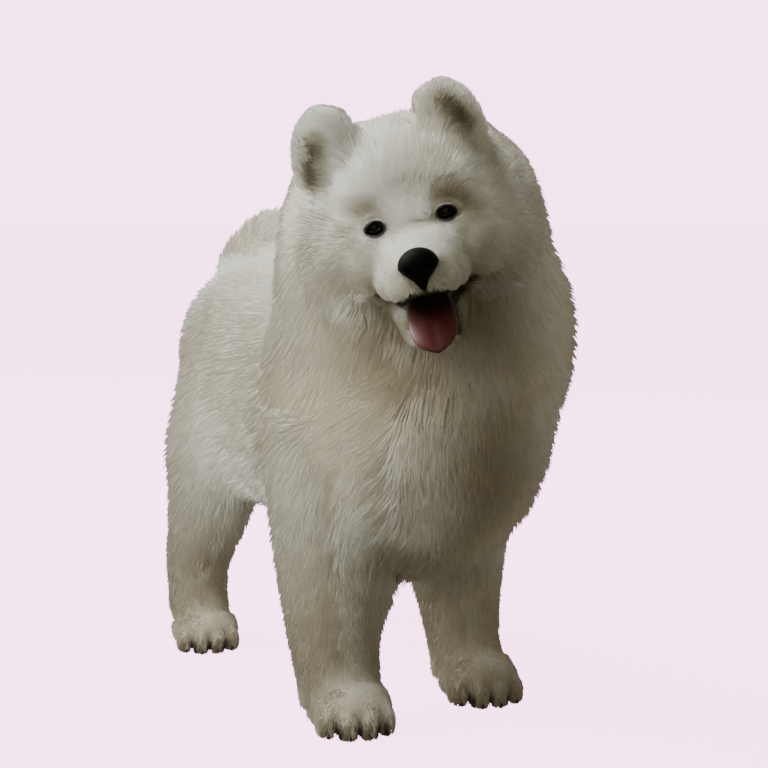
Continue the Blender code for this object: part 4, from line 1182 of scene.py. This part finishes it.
def tuft_lines(roots, plan, outline, draw):
    """Each tuft's root, its bend and its tip near the coat's surface, the way out, and its lock."""
    count = len(roots["depth"])
    lock_count = max(1, count // TUFTS_PER_LOCK)
    tree = KDTree(lock_count)
    for i in range(lock_count):
        tree.insert(roots["point"][i], i)
    tree.balance()
    lock = np.array([tree.find(place)[1] for place in roots["point"]])
    swerve = draw.normal(0, SWERVE, lock_count)[lock] + draw.normal(0, SWERVE, count)
    lie = turned(roots["lie"], roots["normal"], swerve)
    depth = roots["depth"][:, None]
    reach = depth * plan["lie"] * draw.uniform(*LENGTH_SPREAD, (count, 1)) + SHORTEST
    kind = draw.uniform(0, 1, count)
    low = draw.uniform(*LOWER_BY["tuft"], count) + draw.uniform(*LOWER_BY["lock"], lock_count)[lock]
    low = np.minimum(low, draw.uniform(0.0, TIP_SPREAD, count) / roots["depth"])
    low = np.where(kind < UNDER_SHARE, draw.uniform(*LOWER_BY["under"], count), low)
    stray = kind > 1 - STRAY_SHARE
    past = np.minimum(draw.uniform(*LOWER_BY["stray"], count), STRAY_PAST / roots["depth"])
    low = np.where(stray, -past, low)[:, None]
    place = roots["point"] + roots["normal"] * depth * (1 - low) + lie * reach
    on_outline, out = nearest_on(outline, place)
    agrees = (out * roots["normal"]).sum(axis=1, keepdims=True) > LEAST_AGREEMENT
    place = np.where(agrees, place, roots["point"] + TURNED_AWAY * (place - roots["point"]))
    on_outline = np.where(agrees, on_outline, place)
    out = unit(np.where(agrees, out * OUTLINE_SHADE, 0) + roots["normal"] * (1 - OUTLINE_SHADE))
    stop = near_stop(in_head(roots["point"]))[:, None]
    out = unit(out * (1 - stop) + np.array(head_matrix().to_3x3() @ Vector(STOP_FACES)) * stop)
    shift = (on_outline - out * depth * low - place) * fade(depth, *FOLLOWS_OUTLINE)
    far = np.linalg.norm(shift, axis=1, keepdims=True)
    tip = place + shift * np.minimum(1, (PULL_SHARE * depth + PULL_MORE) / np.maximum(far, 1e-9))
    bend = roots["point"] + (tip - roots["point"]) * BEND_AT + roots["normal"] * depth * BOW
    gather = np.where(stray, 0.0, plan["gather"])[:, None]
    tip = tip + (tip[lock] - tip) * gather
    bend = bend + (bend[lock] - bend) * gather * 0.5
    on_outline, past_way = nearest_on(outline, tip)
    past = ((tip - on_outline) * past_way).sum(axis=1, keepdims=True)
    tip = tip - past_way * np.maximum(past - FURTHEST_PAST, 0)
    return {
        "root": roots["point"] - roots["normal"] * ROOT_SUNK,
        "bend": bend,
        "tip": tip,
        "out": out,
        "width": np.where(stray, STRAY_WIDTH, 1.0),
        "shade": 0.5 * draw.uniform(0, 1, lock_count)[lock] + 0.5 * draw.uniform(0, 1, count),
        "uv": roots["uv"],
        "depth": roots["depth"],
    }


def mesh_of(name, points, pattern, count):
    """A mesh of count copies of one pattern of triangles, each over its own corners."""
    size = len(points) // count
    corners = (np.arange(count)[:, None] * size + np.array(pattern).ravel()[None]).ravel()
    mesh = bpy.data.meshes.new(name)
    mesh.vertices.add(len(points))
    mesh.vertices.foreach_set("co", points.astype(np.float32).ravel())
    mesh.loops.add(len(corners))
    mesh.loops.foreach_set("vertex_index", corners.astype(np.int32))
    mesh.polygons.add(len(corners) // 3)
    mesh.polygons.foreach_set("loop_start", np.arange(0, len(corners), 3, dtype=np.int32))
    mesh.update(calc_edges=True)
    return mesh, corners


def set_floats(mesh, name, values):
    mesh.attributes.new(name, "FLOAT", "POINT").data.foreach_set("value", values.astype(np.float32))


def coat_mesh(name, tufts, draw, material):
    """A mesh of closed tufts: thin folded kites, widest at the bend and pointed at both ends."""
    count = len(tufts["depth"])
    width = WIDTH_AT_ROOT + WIDTH_BY_DEPTH * np.minimum(tufts["depth"], WIDEST_DEPTH)
    width = width * tufts["width"]
    half = (width * draw.uniform(*WIDTH_SPREAD, count) / 2)[:, None]
    ahead = unit(tufts["tip"] - tufts["root"])
    side = unit(np.cross(ahead, tufts["out"]))
    roll = draw.normal(0, ROLL, (count, 1))
    side = unit(side + tufts["out"] * roll)
    out = unit(tufts["out"] - ROLL_LEAN * side * roll)
    points = [tufts["root"], tufts["bend"] - side * half, tufts["bend"] + side * half, tufts["tip"]]
    left_way, right_way, tip_way = (unit(out + EDGE_LEAN * way) for way in (-side, side, ahead))
    chord = points[3] - points[0]
    under_left = unit(unit(np.cross(points[1] - points[0], chord)) + UNDERSIDE_LIFT * out)
    under_right = unit(unit(np.cross(chord, points[2] - points[0])) + UNDERSIDE_LIFT * out)
    ways = [out, right_way, left_way, left_way, right_way, tip_way]
    ways += [under_left] * 3 + [under_right] * 3
    places = np.array(((0.5, 0.0), (0.0, BEND_AT), (1.0, BEND_AT), (0.5, 1.0)))
    points = np.stack(points, axis=1).reshape(-1, 3)
    ways = np.stack(ways, axis=1).reshape(-1, 3)
    points[:, 2] = np.maximum(points[:, 2], LOWEST)
    mesh, corners = mesh_of(name, points, ((0, 2, 1), (1, 2, 3), (0, 1, 3), (0, 3, 2)), count)
    patch = np.repeat(tufts["uv"], 4, axis=0) + (np.tile(places, (count, 1)) - 0.5) * PATCH
    mesh.uv_layers.new(name="OFBake").uv.foreach_set("vector", patch[corners].astype(np.float32).ravel())
    set_floats(mesh, "tuft", np.repeat(tufts["shade"], 4))
    set_floats(mesh, "along", np.tile(places[:, 1], count))
    # The marks and painted shade at each corner of the tufts.
    tan_and_shade, dark = tints(points)
    set_floats(mesh, "tan_and_shade", tan_and_shade)
    set_floats(mesh, "dark", np.minimum(dark * np.repeat(draw.uniform(*DARK_SPREAD, count), 4), 1))
    mesh.shade_smooth()
    mesh.normals_split_custom_set(ways.astype(np.float32))
    mesh.materials.append(material)
    made = link(name, mesh)
    made.visible_shadow = False
    return made


def build_coat(skin, outline, material):
    """Every piece of the coat, each a mesh of many tufts."""
    draw = np.random.default_rng(SEED)
    fields = coat_fields(skin.data, outline)
    pieces = []
    most = MOST_TRIANGLES // 4
    for region, plan in COAT.items():
        roots = roots_of(skin, fields, region, plan["tufts"], draw)
        tufts = tuft_lines(roots, plan, outline, draw)
        for number, start in enumerate(range(0, plan["tufts"], most), 1):
            few = {name: values[start : start + most] for name, values in tufts.items()}
            pieces.append(coat_mesh(f"coat_{region}_{number}", few, draw, material))
    return pieces


class Shader:
    """A material being made, node by node."""

    def __init__(self, name, roughness, **settings):
        self.material = bpy.data.materials.new(name)
        self.material.use_nodes = True
        self.tree = self.material.node_tree
        self.surface = self.tree.nodes["Principled BSDF"]
        self.surface.inputs["Roughness"].default_value = roughness
        for socket, value in settings.items():
            self.surface.inputs[socket.replace("_", " ")].default_value = value

    def node(self, kind, inputs=(), **settings):
        made = self.tree.nodes.new(kind)
        for name, value in settings.items():
            setattr(made, name, value)
        for socket, value in dict(inputs).items():
            if isinstance(value, bpy.types.NodeSocket):
                self.tree.links.new(value, made.inputs[socket])
            else:
                made.inputs[socket].default_value = value
        return made

    def mix(self, factor, first, second, blend="MIX"):
        """One colour mixed into another."""
        inputs = {0: factor, 6: first, 7: second}
        return self.node("ShaderNodeMix", inputs, data_type="RGBA", blend_type=blend).outputs[2]

    def stretch(self, value, low, high, first=0.0, last=1.0):
        """A value's range from low to high laid out from first to last."""
        inputs = {0: value, 1: low, 2: high, 3: first, 4: last}
        return self.node("ShaderNodeMapRange", inputs, interpolation_type="SMOOTHSTEP").outputs[0]

    def place(self):
        return self.node("ShaderNodeTexCoord").outputs["Object"]

    def attribute(self, name):
        return self.node("ShaderNodeAttribute", attribute_name=name).outputs["Fac"]

    def noise(self, scale, detail=3.0):
        inputs = {"Vector": self.place(), "Scale": scale, "Detail": detail}
        return self.node("ShaderNodeTexNoise", inputs).outputs[0]

    def spot(self, centre, radii):
        """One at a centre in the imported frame, falling to nothing at these radii from it."""
        moved = self.node("ShaderNodeVectorMath", {0: self.place(), 1: centre}, operation="SUBTRACT")
        scale = tuple(1 / radius for radius in radii)
        scaled = self.node("ShaderNodeVectorMath", {0: moved.outputs[0], 1: scale}, operation="MULTIPLY")
        length = self.node("ShaderNodeVectorMath", {0: scaled.outputs[0]}, operation="LENGTH")
        return self.stretch(length.outputs[1], 1.0, 0.2)

    def bump(self, height, strength, distance):
        inputs = {"Height": height, "Strength": strength, "Distance": distance}
        made = self.node("ShaderNodeBump", inputs)
        self.tree.links.new(made.outputs[0], self.surface.inputs["Normal"])

    def colour(self, value):
        if isinstance(value, bpy.types.NodeSocket):
            self.tree.links.new(value, self.surface.inputs["Base Color"])
        else:
            self.surface.inputs["Base Color"].default_value = value


def marked(shader):
    """The coat's colour with its markings and painted shade, the same on the skin and on the tufts."""
    broad = shader.stretch(shader.noise(5.0), 0.35, 0.65)
    colour = shader.mix(broad, CREAM, WARM_CREAM)
    for name, tint in (("tan_and_shade", TAN_AND_SHADE), ("dark", BLACK_AND_SHADE)):
        colour = shader.mix(shader.attribute(name), colour, tint)
    return colour


def coat_material():
    """Tufts: the coat's colour with painted shade towards the roots, and each tuft a little lighter or
    darker.
    """
    shader = Shader("coat", 0.72, Sheen_Weight=0.25, Sheen_Roughness=0.5, Specular_IOR_Level=0.25)
    colour = marked(shader)
    # Painted shade deep in the coat: darker and warmer towards the roots.
    depth = shader.stretch(shader.attribute("along"), 0.0, 0.7, 0.45, 0.0)
    colour = shader.mix(depth, colour, ROOT_SHADE)
    light = shader.stretch(shader.attribute("tuft"), 0.0, 1.0, 0.88, 1.04)
    shade = shader.node("ShaderNodeCombineColor", {0: light, 1: light, 2: light}).outputs[0]
    shader.colour(shader.mix(1.0, colour, shade, "MULTIPLY"))
    return shader.material


def skin_material():
    """The skin under the coat: the same markings and painted shade, with the coat's short fur as a fine
    grain.
    """
    shader = Shader("skin", 0.8)
    shader.colour(marked(shader))
    shader.bump(shader.noise(420.0, 4.0), 0.5, 0.002)
    return shader.material


def plain_material(name, colour, roughness, grain=None, **settings):
    """One colour with a grain: its scale, strength and depth."""
    shader = Shader(name, roughness, **settings)
    shader.colour(colour)
    if grain:
        scale, strength, distance = grain
        shader.bump(shader.noise(scale), strength, distance)
    return shader.material


def eye_material(side):
    """A wet eye: a black pupil in a very dark brown iris."""
    shader = Shader(f"eye_{side}", 0.08, Specular_IOR_Level=0.25)
    front = head_matrix().to_3x3() @ Vector((0, -EYE_RADIUS, 0))
    pupil = shader.spot(centre_of(f"eye_{side}") + front + SHIFT, (PUPIL_RADIUS,) * 3)
    brown = shader.mix(shader.noise(1500.0), IRIS, IRIS_DARK)
    shader.colour(shader.mix(pupil, brown, (0.001, 0.001, 0.001, 1)))
    return shader.material


def tongue_material():
    """The tongue: pink, with painted shade over its back, inside the mouth."""
    shader = Shader("tongue", 0.38)
    # Painted shade over the tongue's back, inside the mouth.
    back = head_matrix() @ Vector((0.0, -0.010, -0.080)) + SHIFT
    shader.colour(shader.mix(shader.spot(back, (0.05, 0.05, 0.05)), TONGUE_PINK, TONGUE_SHADE))
    shader.bump(shader.noise(700.0), 0.4, 0.0008)
    return shader.material


def in_frame(obj):
    """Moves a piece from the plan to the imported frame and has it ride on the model."""
    obj.data.transform(Matrix.Translation(SHIFT))
    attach(obj, "root")
    return obj


def build_eye(side):
    eye = ellipsoid(f"eyeball_{side}", centre_of(f"eye_{side}"), [EYE_RADIUS] * 3, 48, 32)
    eye.data.shade_smooth()
    return eye


def build_lid(side):
    """The dark rim round an eye's opening, lying on the eyeball."""
    sign = SIDES[side]
    centre = eye_centres()[side]
    count = 48
    points = []
    for grow, radius in LID_RINGS:
        for k in range(count):
            x, z = almond(sign, 2 * math.pi * k / count, grow)
            y = -math.sqrt(max(0.0, radius**2 - x * x - z * z))
            points.append(centre + Vector((x, y, z)))
    lid = object_from(f"eyelids_{side}", points, ring_faces(len(LID_RINGS), count))
    lid.data.transform(head_matrix())
    lid.data.shade_smooth()
    return lid


def build_nose():
    """The nose leather, narrower below, with two nostrils."""
    radii = NOSE["radii"]
    nose = ellipsoid("nose_leather", (0, 0, 0), radii, 64, 40)
    for v in nose.data.vertices:
        v.co.x *= 1 - NOSE["narrow"] * max(0.0, -v.co.z / radii[2])
        v.co.y *= 1 + 0.15 * max(0.0, v.co.z / radii[2])
    for sign in SIDES.values():
        place = (sign * NOSTRIL["x"], -radii[1] * 0.86, NOSTRIL["z"])
        boolean(nose, "DIFFERENCE", ellipsoid("nostril", place, NOSTRIL["radii"]))
    philtrum = ellipsoid("philtrum", PHILTRUM["centre"], PHILTRUM["radii"], 32, 20)
    for v in philtrum.data.vertices:
        v.co.x *= 1 + PHILTRUM["narrow"] * (v.co.z - PHILTRUM["centre"][2]) / PHILTRUM["radii"][2]
    boolean(nose, "UNION", philtrum)
    place = head_matrix().inverted() @ centre_of("nose") + Vector((0, 0, NOSE["lower"]))
    nose.data.transform(head_matrix() @ Matrix.Translation(place))
    nose.data.shade_smooth()
    return nose


def build_tongue():
    rows = smooth_between([(0, y, z, w, h) for y, z, w, h in TONGUE], 0.002)
    tongue = tube("tongue_soft", [r[:3] for r in rows], [r[3:5] for r in rows], (1, 0, 0), 48)
    for vert in tongue.data.vertices:
        vert.co.z -= TONGUE_GROOVE * math.exp(-((vert.co.x / 0.0035) ** 2))
    tongue.data.transform(head_matrix())
    tongue.data.shade_smooth()
    return tongue


def build_claws():
    """The claws, short and dark, each from the front of a toe, mostly under the fur."""
    claws = []
    for plan, shifts in ((FORE_PAW, FORE_SHIFT), (HIND_PAW, HIND_SHIFT)):
        for side in SIDES:
            for centre, radii in toe_plans(plan):
                front = centre + Vector((0, -radii.y * 0.72, -radii.z * 0.38))
                rows = [(*(front + Vector(step)), size, size) for step, size in CLAW]
                rows = smooth_between(rows, 0.0012)
                claw = tube("claw", [r[:3] for r in rows], [r[3:5] for r in rows], (1, 0, 0), 12)
                claw.data.transform(paw_matrix(plan, side, shifts[side]))
                claws.append(claw)
    made = joined("claws", claws)
    made.data.shade_smooth()
    return made


def build_camera():
    data = bpy.data.cameras.new("camera")
    data.sensor_width = SENSOR_WIDTH
    data.lens = CAMERA_FOCUS_PIXELS / PICTURE_PIXELS * SENSOR_WIDTH
    camera = link("camera", data)
    camera.location = CAMERA_PLACE + SHIFT
    camera.rotation_euler = CAMERA_TURN
    bpy.context.scene.camera = camera


def build_light(name, place, size, power, colour):
    """A soft square light that shines on the dog's middle."""
    data = bpy.data.lights.new(name, "AREA")
    data.size = size
    data.energy = power
    data.color = colour
    light = link(name, data)
    light.location = place
    light.rotation_euler = (LIT_POINT - Vector(place)).to_track_quat("-Z", "Y").to_euler()


def build_stage():
    """A pale floor under a pale sky. Neither shines on the dog: the lights and the world do."""
    corners = [(x * FLOOR_HALF, y * FLOOR_HALF, 0) for x, y in ((-1, -1), (1, -1), (1, 1), (-1, 1))]
    floor = object_from("floor", corners, [(0, 1, 2, 3)])
    shader = Shader("floor", 0.9, Emission_Color=SKY_COLOUR, Emission_Strength=FLOOR_GLOW)
    shader.colour(FLOOR_COLOUR)
    floor.data.materials.append(shader.material)
    sky = ellipsoid("sky", (0, 0, 0), [SKY_RADIUS] * 3, 64, 32)
    shader = Shader("sky", 1.0, Emission_Color=SKY_COLOUR, Emission_Strength=SKY_GLOW)
    shader.colour((0, 0, 0, 1))
    sky.data.materials.append(shader.material)
    for obj in (floor, sky):
        obj.visible_diffuse = False
        obj.visible_glossy = False
    sky.visible_shadow = False
    world = bpy.data.worlds.new("studio")
    world.use_nodes = True
    world.node_tree.nodes["Background"].inputs[0].default_value = WORLD_COLOUR
    world.node_tree.nodes["Background"].inputs[1].default_value = WORLD_STRENGTH
    bpy.context.scene.world = world


def main():
    build_camera()
    build_stage()
    for light in LIGHTS:
        build_light(*light)
    looks = {
        "skin": skin_material(),
        "coat": coat_material(),
        "mouth": plain_material("mouth_lining", (0.035, 0.012, 0.011, 1), 0.45),
        "rim": plain_material("lid_rim", RIM_BLACK, 0.5, (900.0, 0.3, 0.001), Specular_IOR_Level=0.12),
        "lips": plain_material("lips", (0.014, 0.010, 0.009, 1), 0.40, (900.0, 0.4, 0.001)),
        "nose": plain_material(
            "nose_leather", NOSE_BLACK, 0.6, (1100.0, 0.6, 0.0008), Specular_IOR_Level=0.14
        ),
        "tongue": tongue_material(),
        "claws": plain_material("claw_horn", (0.030, 0.024, 0.018, 1), 0.35, (500.0, 0.3, 0.0006)),
    }
    skin, lips = build_skin(looks)
    unwrap(skin)
    # The skin's marks and painted shade.
    for mark, values in zip(("tan_and_shade", "dark"), tints(array_of(skin.data.vertices, "co", 3))):
        set_floats(skin.data, mark, values)
    coat = build_coat(skin, build_outline(), looks["coat"])
    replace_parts(in_frame(skin), *FLESH)
    for piece in coat:
        in_frame(piece)
    in_frame(painted(lips, looks["lips"]))
    for side in SIDES:
        eye = in_frame(painted(build_eye(side), eye_material(side)))
        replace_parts(eye, f"eye_{side}")
        in_frame(painted(build_lid(side), looks["rim"]))
    in_frame(painted(build_claws(), looks["claws"]))
    nose = in_frame(painted(build_nose(), looks["nose"]))
    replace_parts(nose, "nose")
    tongue = in_frame(painted(build_tongue(), looks["tongue"]))
    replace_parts(tongue, "tongue")


main()
